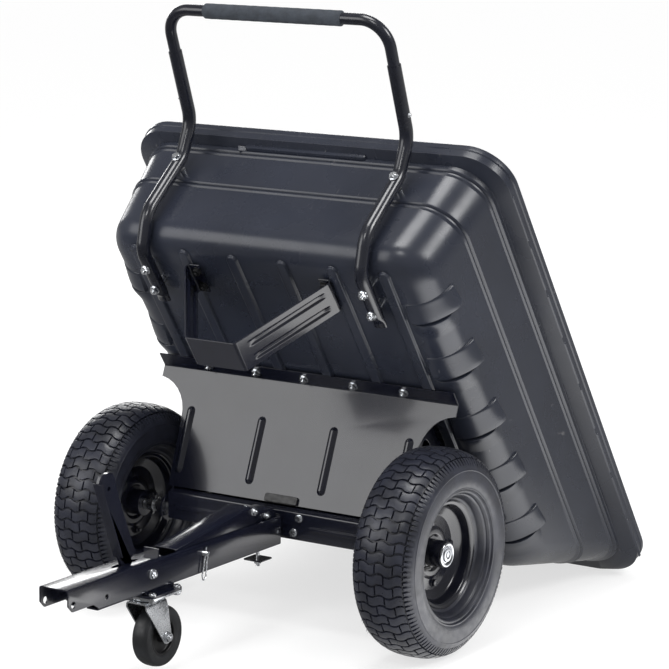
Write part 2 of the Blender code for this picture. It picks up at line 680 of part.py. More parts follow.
drawbar_cut = bmesh.new()
prism(drawbar_cut, "X", [(CHEEK_SLOPE_START, DRAWBAR_TOP + 0.0001), CHEEK_SLOPE_MIDDLE,
                         (DRAWBAR_REAR + 0.001, CHEEK_END_TOP), (DRAWBAR_REAR + 0.001, DRAWBAR_TOP + 0.02),
                         (CHEEK_SLOPE_START, DRAWBAR_TOP + 0.02)], -0.05, 0.05)
for (y, z), r in ((HITCH_HOLE, HITCH_HOLE_RADIUS), (SPARE_HOLE, SPARE_HOLE_RADIUS),
                  (LEVER_PIVOT, LEVER_BOLT_RADIUS + FIT), (LOCK_PIN, LOCK_PIN_RADIUS + FIT)):
    prism(drawbar_cut, "X", circle(y, z, r, 10), -0.05, 0.05)
drawbar = combine(drawbar, add_object("drawbar_cutter", drawbar_cut), "DIFFERENCE")
drawbar_cut = bmesh.new()
prism(drawbar_cut, "Z", stadium(LEVER_SLOT_FRONT, LEVER_SLOT_REAR, 0, 2 * LEVER_SLOT_HALF_WIDTH, 3, True),
      DRAWBAR_TOP - 0.01, DRAWBAR_TOP + 0.01)
prism(drawbar_cut, "X", flat(rounded([(DRAWBAR_FRONT - 0.001, FORK_BOTTOM - 0.001), (DRAWBAR_FRONT + 0.013, FORK_BOTTOM - 0.001),
                                      (DRAWBAR_FRONT - 0.001, FORK_BOTTOM + 0.013)], 0)), -0.05, 0.05)
drawbar = combine(drawbar, add_object("drawbar_cutter", drawbar_cut), "DIFFERENCE")
dress(drawbar, FRAME_PAINT, origin)


# Tongue: inner channel that rises to the rear

tongue_run = TONGUE_TOP_REAR[0] - TONGUE_FRONT[0]
TONGUE_RISE = atan2(TONGUE_TOP_REAR[1] - TONGUE_FRONT[1], tongue_run)


def tongue_top(y):
    return TONGUE_FRONT[1] + (y - TONGUE_FRONT[0]) * tan(TONGUE_RISE)


TONGUE_BOLTS = ((-0.118, 0.2555, 0.0036), (-0.0745, 0.238, 0.003), (-0.0455, 0.2020, 0.003))
TONGUE_LENGTHS = (TONGUE_HALF_WIDTH, TONGUE_HALF_WIDTH - TONGUE_SHEET - FIT, TONGUE_HALF_WIDTH - TONGUE_SHEET - FIT)
tongue_shape = bmesh.new()
inner = TONGUE_HALF_WIDTH - TONGUE_SHEET
path = rounded([(TONGUE_HALF_WIDTH, -TONGUE_DEPTH), (TONGUE_HALF_WIDTH, 0), (-TONGUE_HALF_WIDTH, 0),
                (-TONGUE_HALF_WIDTH, -TONGUE_DEPTH)], [0, 0.004, 0.004, 0], 2, closed=False)
section = strip(path, TONGUE_SHEET, 1)
ends = []
for y in (TONGUE_FRONT[0], TONGUE_TOP_REAR[0]):
    ends.append([Vector((x, y, tongue_top(y) + z)) for x, z in section])
rear = ends[1]
slant = (TONGUE_BOTTOM_REAR[0] - TONGUE_TOP_REAR[0]) / TONGUE_DEPTH
for point in rear:
    drop = tongue_top(TONGUE_TOP_REAR[0]) - point.z
    point.y += slant * drop
    point.z += slant * drop * tan(TONGUE_RISE)
loft(tongue_shape, ends)
tongue = add_object("tongue", tongue_shape)
tongue_cut = bmesh.new()
prism(tongue_cut, "X", circle(*LOCK_PIN, LOCK_PIN_RADIUS + FIT, 10), -0.05, 0.05)
prism(tongue_cut, "X", circle(TONGUE_BOLTS[0][0], TONGUE_BOLTS[0][1], TONGUE_BOLTS[0][2] + FIT, 8), -0.05, 0.05)
prism(tongue_cut, "X", box_outline(TONGUE_FRONT[0] - 0.02, DRAWBAR_BOTTOM, -0.04, DRAWBAR_BOTTOM + HEAVY_SHEET + 0.018),
      -0.05, 0.05)
tongue = combine(tongue, add_object("tongue_cutter", tongue_cut), "DIFFERENCE")
dress(tongue, FRAME_PAINT, origin)

# Bracket from the tongue to the cross-member, clear of the swinging front plate
bracket_half = inner - FIT
tongue_bracket_shape = bmesh.new()
path = rounded([(bracket_half, DRAWBAR_BOTTOM + HEAVY_SHEET + 0.010), (bracket_half, BRACKET_TOP),
                (-bracket_half, BRACKET_TOP), (-bracket_half, DRAWBAR_BOTTOM + HEAVY_SHEET + 0.010)],
               [0, 0.004, 0.004, 0], 2, closed=False)
prism(tongue_bracket_shape, "Y", strip(path, HEAVY_SHEET, 1), BRACKET_FRONT, CROSS_FRONT - FIT)
tongue_bracket = add_object("tongue_bracket", tongue_bracket_shape)
end_shape = bmesh.new()
prism(end_shape, "Y", box_outline(-bracket_half + 0.001, DRAWBAR_BOTTOM + HEAVY_SHEET + 0.010, bracket_half - 0.001,
                                  BRACKET_LOW_TOP), CROSS_FRONT - FIT - HEAVY_SHEET, CROSS_FRONT - FIT)
tongue_bracket = combine(tongue_bracket, add_object("bracket_end", end_shape), "UNION")
bracket_cut = bmesh.new()
prism(bracket_cut, "X", [(CROSS_FRONT + 0.01, BRACKET_LOW_TOP), (-0.034, BRACKET_LOW_TOP), (-0.0485, BRACKET_TOP + 0.0001),
                         (-0.0485, BRACKET_TOP + 0.02), (CROSS_FRONT + 0.01, BRACKET_TOP + 0.02)], -0.05, 0.05)
prism(bracket_cut, "X", [(BRACKET_FRONT - 0.001, 0.15), (-0.060, 0.15), (-0.085, 0.212), (BRACKET_FRONT - 0.001, 0.220)],
      -0.05, 0.05)
tongue_bracket = combine(tongue_bracket, add_object("bracket_cutter", bracket_cut), "DIFFERENCE")
bracket_cut = bmesh.new()
for y, z, r in TONGUE_BOLTS:
    prism(bracket_cut, "X", circle(y, z if z < BRACKET_TOP - 0.006 else z, r + FIT, 8), -0.05, 0.05)
prism(bracket_cut, "X", box_outline(BRACKET_FRONT - 0.001, BRACKET_TOP - 0.0001, BRACKET_FRONT, BRACKET_TOP), -0.05, -0.04)
tongue_bracket = combine(tongue_bracket, add_object("bracket_cutter", bracket_cut), "DIFFERENCE")
dress(tongue_bracket, FRAME_PAINT, origin)

BOLT_NAMES = ("tongue_bolt", "bracket_bolt_upper", "bracket_bolt_lower")
for bolt_name, (y, z, r), half in zip(BOLT_NAMES, TONGUE_BOLTS, (TONGUE_HALF_WIDTH, bracket_half, bracket_half)):
    edge = half + FIT
    shape = bmesh.new()
    bolt(shape, "X", (0, y, z), [(-edge - 0.0055, r), (-edge - 0.0045, r), (-edge - 0.0045, r * 1.75),
                                 (-edge, r * 1.75), (-edge, r), (edge, r), (edge, r * 1.8),
                                 (edge + 0.0035, r * 1.8), (edge + 0.0042, r * 1.4)])
    add_object(bolt_name, shape, ZINC, origin)


# Clamp under the drawbar: a plate in the channel, a square plate below and their bolt

clamp_inner_z = DRAWBAR_BOTTOM + HEAVY_SHEET + FIT
clamp = bmesh.new()
prism(clamp, "Z", box_outline(-0.017, CLAMP_Y - 0.017, 0.017, CLAMP_Y + 0.017), clamp_inner_z, clamp_inner_z + 0.003,
      [circle(0, CLAMP_Y, CLAMP_BOLT_RADIUS + FIT, 8)])
add_object("clamp_plate_inner", clamp, FRAME_PAINT, origin)
clamp = bmesh.new()
side = CLAMP_PLATE_SIDE / 2
prism(clamp, "Z", flat(rounded(box_outline(-side, CLAMP_Y - side, side, CLAMP_Y + side), 0.003, 2)),
      CLAMP_PLATE_HEIGHT, CLAMP_PLATE_HEIGHT + 0.003, [circle(0, CLAMP_Y, CLAMP_BOLT_RADIUS + FIT, 8)])
add_object("clamp_plate_outer", clamp, FRAME_PAINT, origin)
clamp = bmesh.new()
bolt(clamp, "Z", (0, CLAMP_Y, 0), [(CLAMP_PLATE_HEIGHT - 0.0085, CLAMP_BOLT_RADIUS), (CLAMP_PLATE_HEIGHT - 0.0068, CLAMP_BOLT_RADIUS),
                                   (CLAMP_PLATE_HEIGHT - 0.0068, 0.0072), (CLAMP_PLATE_HEIGHT - FIT, 0.0072),
                                   (CLAMP_PLATE_HEIGHT - FIT, CLAMP_BOLT_RADIUS), (clamp_inner_z + 0.003 + FIT, CLAMP_BOLT_RADIUS),
                                   (clamp_inner_z + 0.003 + FIT, 0.0072), (clamp_inner_z + 0.008, 0.0072)])
add_object("clamp_bolt", clamp, ZINC, origin)


# Latch lever

def lever_points():
    """Side outline of the lever about its pivot: hub, front edge, round top, rear edge, hook."""
    y0, z0 = LEVER_PIVOT
    body = [(-0.458, 0.2195), (-0.4765, 0.2340), (-0.4573, 0.2485), (-0.4640, 0.2575), (-0.505, 0.351),
            (-0.5235, 0.4075), (-0.5605, 0.4075), (-0.566, 0.391), (-0.503, 0.2336), (-0.470, 0.1980)]
    radii = [0, 0.001, 0.001, 0.004, 0.02, 0.015, 0.014, 0.004, 0.006, 0]
    path = flat(rounded(body, radii, 2))
    hub = [(y0 + 0.0135 * cos(a), z0 + 0.0135 * sin(a))
           for a in (radians(-120 + 20 * i) for i in range(13))]
    return [(y - y0, z - z0) for y, z in path + hub]


lever_shape = bmesh.new()
prism(lever_shape, "X", lever_points(), -LEVER_SHEET / 2, LEVER_SHEET / 2,
      [circle(0, 0, LEVER_SLEEVE_RADIUS + FIT, 12), circle(-0.536 - LEVER_PIVOT[0], 0.378 - LEVER_PIVOT[1], 0.0045, 8)])
lever = add_object("latch_lever", lever_shape)
flange_shape = bmesh.new()
flange = [(-0.5075, 0.2455), (-0.5655, 0.390), (-0.5628, 0.3911), (-0.5047, 0.2466)]
prism(flange_shape, "X", [(y - LEVER_PIVOT[0], z - LEVER_PIVOT[1]) for y, z in flange],
      -LEVER_FLANGE_HALF_WIDTH, LEVER_FLANGE_HALF_WIDTH)
lever = combine(lever, add_object("lever_flange", flange_shape), "UNION")
dress(lever, FRAME_PAINT, lever_pivot)

sleeve = bmesh.new()
sleeve_half = drawbar_inner - FIT
turned(sleeve, "X", [(LEVER_BOLT_RADIUS + FIT, -sleeve_half), (LEVER_SLEEVE_RADIUS, -sleeve_half),
                     (LEVER_SLEEVE_RADIUS, sleeve_half), (LEVER_BOLT_RADIUS + FIT, sleeve_half)], 12, ring=True)
add_object("lever_sleeve", sleeve, ZINC, lever_pivot)

lever_bolt = bmesh.new()
edge = DRAWBAR_HALF_WIDTH + FIT
bolt(lever_bolt, "X", (0, *LEVER_PIVOT), [(-edge - 0.0060, 0.0060), (-edge - 0.0050, 0.0075), (-edge, 0.0075),
                                          (-edge, LEVER_BOLT_RADIUS), (edge, LEVER_BOLT_RADIUS), (edge, 0.0075),
                                          (edge + 0.0065, 0.0075), (edge + 0.0065, LEVER_BOLT_RADIUS),
                                          (edge + 0.0085, LEVER_BOLT_RADIUS)])
add_object("lever_bolt", lever_bolt, ZINC, origin)


# Lock pin with its spring clip

pin = bmesh.new()
turned(pin, "X", [(0.0080, -edge - 0.0045), (0.0085, -edge - 0.0035), (0.0085, -edge), (LOCK_PIN_RADIUS, -edge),
                  (LOCK_PIN_RADIUS, edge + 0.0095), (LOCK_PIN_RADIUS - 0.0012, edge + 0.0110)], 10)
lock_pin = add_object("lock_pin", pin)
pin_cut = bmesh.new()
CLIP_X = edge + 0.0045
turned(pin_cut, "Z", [(CLIP_WIRE_RADIUS + FIT, -0.02), (CLIP_WIRE_RADIUS + FIT, 0.02)], 8, centre=(CLIP_X, 0, 0))
lock_pin = combine(lock_pin, add_object("pin_cutter", pin_cut), "DIFFERENCE")
dress(lock_pin, ZINC, pin_axis)

clip = bmesh.new()
clip_path = rounded([(CLIP_X, 0, 0.0085), (CLIP_X, 0, -0.024), (CLIP_X, 0.0035, -0.0310), (CLIP_X, 0.0085, -0.024),
                     (CLIP_X, 0.0063, -0.010), (CLIP_X, 0.0090, 0.0015)],
                    [0, 0.003, 0.0022, 0.004, 0.010, 0], 3, closed=False)
ring_sides = 6
rings = []
for i, point in enumerate(clip_path):
    before = (point - clip_path[i - 1]).normalized() if i else None
    after = (clip_path[i + 1] - point).normalized() if i + 1 < len(clip_path) else None
    along = ((before or after) + (after or before)).normalized()
    across = along.cross(Vector((1, 0, 0))).normalized()
    rings.append([point + (Vector((1, 0, 0)) * cos(2 * pi * k / ring_sides) + across * sin(2 * pi * k / ring_sides))
                  * CLIP_WIRE_RADIUS for k in range(ring_sides)])
loft(clip, rings)
add_object("lock_clip", clip, ZINC, pin_axis)


# Caster

PAD_TOP = DRAWBAR_BOTTOM - CASTER_SPACER - FIT
PLATE_TOP = PAD_TOP - CASTER_PAD_THICKNESS - FIT
PLATE_BOTTOM = PLATE_TOP - CASTER_PLATE_THICKNESS
RACE_TOP = PLATE_BOTTOM - FIT
CROWN_TOP = RACE_TOP - CASTER_RACE_HEIGHT - FIT
plate_outline = flat(rounded(box_outline(-CASTER_PLATE_HALF[0], CASTER_Y - CASTER_PLATE_HALF[1], CASTER_PLATE_HALF[0],
                                         CASTER_Y + CASTER_PLATE_HALF[1]), 0.008, 3))
bolt_places = [(sx * CASTER_BOLT_PLACES[0], CASTER_Y + sy * CASTER_BOLT_PLACES[1]) for sx in (1, -1) for sy in (1, -1)]
bolt_holes = [circle(x, y, SMALL_BOLT + FIT, 8) for x, y in bolt_places]
pad = bmesh.new()
prism(pad, "Z", plate_outline, PLATE_TOP + FIT, PAD_TOP, bolt_holes)
pad_object = add_object("caster_pad", pad)
spacer = bmesh.new()
prism(spacer, "Z", box_outline(-CASTER_SPACER_HALF_WIDTH, CASTER_Y - 0.042, CASTER_SPACER_HALF_WIDTH, CASTER_Y + 0.042),
      PAD_TOP - 0.001, DRAWBAR_BOTTOM - FIT)
dress(combine(pad_object, add_object("pad_spacer", spacer), "UNION"), FRAME_PAINT, origin)

plate = bmesh.new()
prism(plate, "Z", plate_outline, PLATE_BOTTOM, PLATE_TOP, [circle(0, CASTER_Y, KINGPIN_RADIUS + FIT, 16)])
plate_object = add_object("caster_plate", plate)
plate_bolts = bmesh.new()
for x, y in bolt_places:
    bolt(plate_bolts, "Z", (x, y, 0), [(PLATE_BOTTOM - 0.0050, 0.0056), (PLATE_BOTTOM + 0.001, 0.0056), (PLATE_BOTTOM + 0.001, SMALL_BOLT),
                                       (PAD_TOP + FIT, SMALL_BOLT), (PAD_TOP + FIT, 0.0056), (PAD_TOP + 0.0050, 0.0056)])
dress(combine(plate_object, add_object("plate_bolts", plate_bolts), "UNION"), ZINC, origin)

race = bmesh.new()
turned(race, "Z", [(KINGPIN_RADIUS + FIT, RACE_TOP - CASTER_RACE_HEIGHT), (0.021, RACE_TOP - CASTER_RACE_HEIGHT),
                   (0.0235, RACE_TOP - CASTER_RACE_HEIGHT + 0.003), (0.0235, RACE_TOP - 0.0045),
                   (CASTER_RACE_RADIUS, RACE_TOP - 0.0035), (CASTER_RACE_RADIUS, RACE_TOP),
                   (KINGPIN_RADIUS + FIT, RACE_TOP)], 16, ring=True, centre=(0, CASTER_Y, 0))
add_object("caster_race", race, ZINC, origin)

kingpin = bmesh.new()
pin_foot = CROWN_TOP - FORK_SHEET - FIT
turned(kingpin, "Z", [(0.0075, pin_foot - 0.0050), (0.0105, pin_foot - 0.0035), (0.0105, pin_foot),
                      (KINGPIN_RADIUS, pin_foot), (KINGPIN_RADIUS, PLATE_TOP)], 16, centre=(0, CASTER_Y, 0))
add_object("caster_kingpin", kingpin, ZINC, origin)

fork = bmesh.new()
leg_low = CASTER_WHEEL_Z - 0.0135
path = rounded([(FORK_HALF_WIDTH, leg_low), (FORK_HALF_WIDTH, CROWN_TOP), (-FORK_HALF_WIDTH, CROWN_TOP),
                (-FORK_HALF_WIDTH, leg_low)], [0, 0.005, 0.005, 0], 3, closed=False)
prism(fork, "Y", strip(path, FORK_SHEET, 1), -0.060, 0.060)
fork_object = add_object("caster_fork", fork)
side_cut = bmesh.new()
leg_end = [(CASTER_TRAIL + 0.0135 * cos(a), CASTER_WHEEL_Z + 0.0135 * sin(a))
           for a in (radians(-160 + 30 * i) for i in range(7))]
silhouette = [(-0.033, CROWN_TOP + 0.001), (-0.033, CROWN_TOP - 0.011)] + leg_end + [
    (0.033, CROWN_TOP - 0.018), (0.026, CROWN_TOP + 0.001)]
prism(side_cut, "X", silhouette, -0.04, 0.04)
fork_object = combine(fork_object, add_object("fork_silhouette", side_cut), "INTERSECT")
side_cut = bmesh.new()
prism(side_cut, "X", circle(CASTER_TRAIL, CASTER_WHEEL_Z, CASTER_AXLE_RADIUS + FIT, 12), -0.04, 0.04)
fork_object = combine(fork_object, add_object("fork_cutter", side_cut), "DIFFERENCE")
side_cut = bmesh.new()
prism(side_cut, "Z", circle(0, 0, KINGPIN_RADIUS + FIT, 16), CROWN_TOP - 0.01, CROWN_TOP + 0.01)
fork_object = combine(fork_object, add_object("fork_cutter", side_cut), "DIFFERENCE")
dress(fork_object, ZINC, caster_swivel)

caster_axle = bmesh.new()
edge = FORK_HALF_WIDTH + FIT
bolt(caster_axle, "X", (0, CASTER_TRAIL, CASTER_WHEEL_Z),
     [(-edge - 0.0058, 0.0072), (-edge - 0.0048, 0.0085), (-edge, 0.0085), (-edge, CASTER_AXLE_RADIUS),
      (edge, CASTER_AXLE_RADIUS), (edge, 0.0085), (edge + 0.0070, 0.0085), (edge + 0.0070, CASTER_AXLE_RADIUS),
      (edge + 0.0085, CASTER_AXLE_RADIUS)])
add_object("caster_axle", caster_axle, ZINC, caster_swivel)

tyre = bmesh.new()
half = CASTER_WHEEL_WIDTH / 2
CASTER_HUB_RADIUS = 0.036
crown = []
for i in range(5):
    turn = radians(-90 + 45 * i)
    crown.append((CASTER_WHEEL_RADIUS - 0.009 + 0.009 * cos(turn), (half - 0.0005) * sin(turn)))
turned(tyre, "X", [(CASTER_HUB_RADIUS + FIT, -half + 0.003)] + crown + [(CASTER_HUB_RADIUS + FIT, half - 0.003)], 24,
       ring=True)
add_object("caster_tyre", tyre, CASTER_RUBBER, caster_centre, 40)
hub = bmesh.new()
boss = FORK_HALF_WIDTH - FORK_SHEET - FIT
bore = CASTER_AXLE_RADIUS + FIT
turned(hub, "X", [(bore, -boss), (0.011, -boss), (0.012, -0.007), (0.030, -0.006), (0.031, -half + 0.003),
                  (CASTER_HUB_RADIUS, -half + 0.003), (CASTER_HUB_RADIUS, half - 0.003), (0.031, half - 0.003),
                  (0.030, 0.006), (0.012, 0.007), (0.011, boss), (bore, boss)], 12, ring=True)
add_object("caster_hub", hub, BLACK_PLASTIC, caster_centre, 40)


# Tub shell

def inset(height, fillet, lean=0.0):
    """How far a fillet pulls the wall in at a height over the floor, for an upright wall."""
    return fillet - sqrt(max(0.0, fillet ** 2 - (fillet - height) ** 2)) if height < fillet else 0.0


def tub_ring(height, skin=0.0, lift=0.0):
    """Rounded rectangle of the tub at a height; skin moves it in, lift moves it out."""
    n = height
    side = SIDE_X + SIDE_SLOPE * n - skin - inset(n - skin, SIDE_FILLET - skin)
    front = FLOOR_FRONT - FRONT_SLOPE * n + skin + inset(n - skin, FRONT_FILLET - skin)
    half_turn = atan2(1, REAR_SLOPE)
    reach = REAR_FILLET * tan(half_turn / 2)
    arc_top = REAR_FILLET * (1 - cos(half_turn))
    wall_rear = FLOOR_REAR + REAR_SLOPE * n - skin * hypot(1, REAR_SLOPE)
    if n - skin < arc_top:
        r = REAR_FILLET - skin
        wall_rear = min(FLOOR_REAR - reach + sqrt(max(0.0, r ** 2 - (r - (n - skin)) ** 2)), wall_rear + 1)
    plan = PLAN_RADIUS - skin - inset(n - skin, SIDE_FILLET - skin)
    return rounded_rectangle(side + lift, front - lift, wall_rear + lift * 1.2, plan + lift, plan + lift, n)


def rounded_rectangle(half, front, rear, front_radius, rear_radius, n):
    points = []
    corners = (((half - front_radius), front + front_radius, front_radius, -90),
               ((half - rear_radius), rear - rear_radius, rear_radius, 0),
               (-(half - rear_radius), rear - rear_radius, rear_radius, 90),
               (-(half - front_radius), front + front_radius, front_radius, 180))
    for x, u, r, start in corners:
        for i in range(CORNER_STEPS + 1):
            turn = radians(start + 90 * i / CORNER_STEPS)
            y, z = lowered(u + r * sin(turn), n)
            points.append(Vector((x + r * cos(turn), y, z)))
    return points


def rim_ring(share, n, out=0.0):
    """Ring between the wall's top and the rim's outer edge."""
    n_wall = RIM_UNDERSIDE
    side = SIDE_X + SIDE_SLOPE * n_wall
    front = FLOOR_FRONT - FRONT_SLOPE * n_wall
    rear = FLOOR_REAR + REAR_SLOPE * n_wall
    return rounded_rectangle(side + (RIM_HALF_WIDTH_X - side) * share + out,
                             front + (RIM_FRONT - front) * share - out,
                             rear + (RIM_REAR - rear) * share + out,
                             PLAN_RADIUS + 0.006 * share, PLAN_RADIUS + 0.006 * share, n)


def tub_levels():
    rings = [tub_ring(n) for n in (0.0, 0.0035, 0.011, 0.022, 0.037, SIDE_FILLET)]
    for bead in BEAD_HEIGHTS:
        rings += [tub_ring(bead - BEAD_HALF_WIDTH), tub_ring(bead - BEAD_HALF_WIDTH / 2, lift=BEAD_RISE),
                  tub_ring(bead + BEAD_HALF_WIDTH / 2, lift=BEAD_RISE), tub_ring(bead + BEAD_HALF_WIDTH)]
    rings += [tub_ring(FLARE_START)] + [rim_ring(share, n) for share, n in FLARE]
    rings += [rim_ring(0.80, RIM_LIP_BOTTOM), rim_ring(1.0, RIM_LIP_BOTTOM), rim_ring(1.0, RIM_HEIGHT - RIM_EDGE_ROUND),
              rim_ring(0.86, RIM_HEIGHT)]
    rings += [tub_ring(RIM_HEIGHT, skin=WALL), tub_ring(RIM_HEIGHT - 0.02, skin=WALL)]
    for n in (SIDE_FILLET, 0.035, 0.020, 0.010, WALL):
        rings.append(tub_ring(n, skin=WALL))
    return rings


tub_shape = bmesh.new()
loft(tub_shape, tub_levels())
tub = add_object("tub", tub_shape)

adds = bmesh.new()
for x in RIB_PLACES:
    for way in (1, -1):
        inner_line = stadium(RIB_FRONT, RIB_REAR, way * x, RIB_WIDTH + 0.003, 3, True)
        outer_line = stadium(RIB_FRONT + 0.003, RIB_REAR - 0.003, way * x, RIB_WIDTH - 0.003, 3, True)
        low = [Vector((a, *lowered(b, WALL * 0.6))) for a, b in inner_line]
        high = [Vector((a, *lowered(b, -RIB_HEIGHT))) for a, b in outer_line]
        loft(adds, [low, high])


def collar_section(rise, n_top, x_low):
    """Section of an edge collar in X and n: out over the fillet, back inside the wall."""
    centre = (SIDE_X + SIDE_SLOPE * SIDE_FILLET - SIDE_FILLET + 0.0, SIDE_FILLET)
    outer = [(x_low, -rise)]
    for i in range(4):
        turn = radians(-90 + 30 * i)
        outer.append((centre[0] + (SIDE_FILLET + rise) * cos(turn), centre[1] + (SIDE_FILLET + rise) * sin(turn)))
    outer.append((SIDE_X + SIDE_SLOPE * n_top + rise, n_top))
    inner_radius = SIDE_FILLET - WALL * 0.6
    outer.append((SIDE_X + SIDE_SLOPE * (n_top + 0.006) - WALL * 0.6, n_top + 0.006))
    for i in range(2, -1, -1):
        turn = radians(-90 + 45 * i)
        outer.append((centre[0] + inner_radius * cos(turn), centre[1] + inner_radius * sin(turn)))
    outer.append((x_low - 0.005, WALL * 0.6))
    return outer


for u0, u1 in COLLAR_SPANS:
    for way in (1, -1):
        full = collar_section(COLLAR_RISE, 0.066, 0.3045)
        edge_section = collar_section(COLLAR_RISE * 0.1, 0.062, 0.3065)
        rings = []
        for u, section in ((u0, edge_section), (u0 + 0.004, full), (u1 - 0.004, full), (u1, edge_section)):
            rings.append([Vector((way * x, *lowered(u, n))) for x, n in section])
        loft(adds, rings)
tub = combine(tub, add_object("tub_adds", adds), "UNION")

floor_holes = bmesh.new()
FLANGE_BOLT_X = [i * FLANGE_BOLT_PITCH for i in (-2, -1, 0, 1, 2)]
REAR_BOLT_U = 2 * AXLE_U - FLANGE_BOLT_U
SADDLE_BOLT_X = SADDLE_FOOT_X - SADDLE_FOOT_LENGTH + 0.009
SADDLE_BOLT_U = (SADDLE_FRONT + 0.016, SADDLE_REAR - 0.016)
floor_bolts = [(x, u) for u in (FLANGE_BOLT_U, REAR_BOLT_U) for x in FLANGE_BOLT_X]
saddle_bolts = [(way * SADDLE_BOLT_X, u) for u in SADDLE_BOLT_U for way in (1, -1)]
handle_bolts = [(way * LEG_X, u) for u in HANDLE_BOLT_U for way in (1, -1)]
for x, u in floor_bolts + saddle_bolts + handle_bolts:
    y, z = lowered(u, 0)
    prism(floor_holes, "Z", circle(x, y, SMALL_BOLT + FIT, 6), z - 0.012, z + 0.012)
tub = combine(tub, add_object("floor_hole_cutter", floor_holes), "DIFFERENCE")
wall_holes = bmesh.new()
for way in (1, -1):
    y, z = lowered(HANDLE_WALL_BOLT[0], HANDLE_WALL_BOLT[1])
    prism(wall_holes, "Y", circle(way * LEG_X, z, SMALL_BOLT + FIT, 6), y - 0.02, y + 0.09)
tub = combine(tub, add_object("wall_hole_cutter", wall_holes), "DIFFERENCE")
dress(tub, TUB_PLASTIC, tub_pivot, 30)


# Bolts through the tub floor: a round head inside, a nut outside, fused with the piece they hold

def floor_bolts_on(made, places, seat, collar=0.0):
    """seat is the n of the outer face that the nut sits on; collar is a spacer's radius under the floor."""
    shape = bmesh.new()
    for x, u in places:
        y, z = lowered(u, 0)
        sections = [(seat - 0.0060, 0.0062), (seat + 0.0010, 0.0062), (seat + 0.0010, SMALL_BOLT)]
        if collar:
            sections += [(seat + 0.0030, SMALL_BOLT), (seat + 0.0030, collar), (-FIT, collar), (-FIT, SMALL_BOLT)]
        sections += [(WALL + FIT, SMALL_BOLT), (WALL + FIT, 0.0085), (WALL + 0.0026, 0.0050)]
        bolt(shape, "Z", (x, y, z), sections)
    return combine(made, add_object("floor_bolts", shape), "UNION")


FOOT_LEVEL = -RIB_HEIGHT - FIT


# Front and rear plates

def make_plate(name, way):
    """Pressed plate from the axle to the tub floor; way is -1 for the front and 1 for the rear."""
    bend_y, bend_z = lowered(PLATE_BEND_U, -RIB_HEIGHT - FIT)
    bend_y = abs(bend_y)
    length = hypot(bend_y, bend_z)
    lean = atan2(bend_y, bend_z)
    low = (PLATE_BOTTOM_RADIUS * sin(lean), PLATE_BOTTOM_RADIUS * cos(lean))
    path = rounded([low, (bend_y, bend_z), (bend_y + PLATE_FLANGE_LENGTH, bend_z)], [0, 0.006, 0], 3, closed=False)
    outline = [(way * y, z) for y, z in strip(path, SHEET, -1)]
    shape = bmesh.new()
    prism(shape, "X", outline, -PLATE_TOP_HALF_WIDTH, PLATE_TOP_HALF_WIDTH)
    made = add_object(name, shape)
    up = Vector((0, way * sin(lean), cos(lean)))
    out = Vector((0, way * cos(lean), -sin(lean)))

    def on_plate(x, r, d):
        return Vector((x, 0, 0)) + up * r + out * d

    beads = bmesh.new()
    for x in PLATE_BEAD_PLACES:
        for sign in (1, -1):
            wide = stadium(*PLATE_BEAD_RANGE, sign * x, PLATE_BEAD_WIDTH, 3, True)
            slim = stadium(PLATE_BEAD_RANGE[0] + 0.003, PLATE_BEAD_RANGE[1] - 0.003, sign * x,
                           PLATE_BEAD_WIDTH - 0.006, 3, True)
            loft(beads, [[on_plate(a, b, SHEET * 0.5) for a, b in wide],
                         [on_plate(a, b, SHEET + PLATE_BEAD_RISE) for a, b in slim]])
    made = combine(made, add_object("plate_beads", beads), "UNION")
    arcs = bmesh.new()
    arc_x, arc_r = PLATE_ARC_CENTRE
    edge_x = PLATE_TOP_HALF_WIDTH + 0.02
    top_turn = asin(min(1.0, 0.0745 / PLATE_ARC_RADIUS))
    start_turn = pi
    steps = 8
    for sign in (1, -1):
        curve = []
        for i in range(steps + 1):
            turn = start_turn - (start_turn - top_turn * 1.2) * i / steps
            curve.append((arc_x + PLATE_ARC_RADIUS * cos(turn), arc_r + PLATE_ARC_RADIUS * sin(turn)))
        curve = [p for p in curve if p[0] < edge_x]
        region = [(edge_x, -0.01), (PLATE_LOW_HALF_WIDTH, -0.01), (PLATE_LOW_HALF_WIDTH, PLATE_BOTTOM_RADIUS)] + curve
        region.append((edge_x, curve[-1][1]))
        loft(arcs, [[on_plate(sign * x, r, -0.012) for x, r in region],
                    [on_plate(sign * x, r, 0.012) for x, r in region]])
    made = combine(made, add_object("plate_arc_cutter", arcs), "DIFFERENCE")
    made = floor_bolts_on(made, floor_bolts[:5] if way < 0 else floor_bolts[5:], FOOT_LEVEL - SHEET)
    if way < 0:
        buffer_holes = bmesh.new()
        for sign in (1, -1):
            points = circle(sign * 0.024, PLATE_BOTTOM_RADIUS + 0.009, 0.0022, 6)
            loft(buffer_holes, [[on_plate(a, b, -0.01) for a, b in points], [on_plate(a, b, 0.01) for a, b in points]])
        made = combine(made, add_object("buffer_hole_cutter", buffer_holes), "DIFFERENCE")
    dress(made, FRAME_PAINT, tub_pivot)
    return on_plate, lean, length


front_plate_place, PLATE_LEAN, PLATE_LENGTH = make_plate("front_plate", -1)
make_plate("rear_plate", 1)

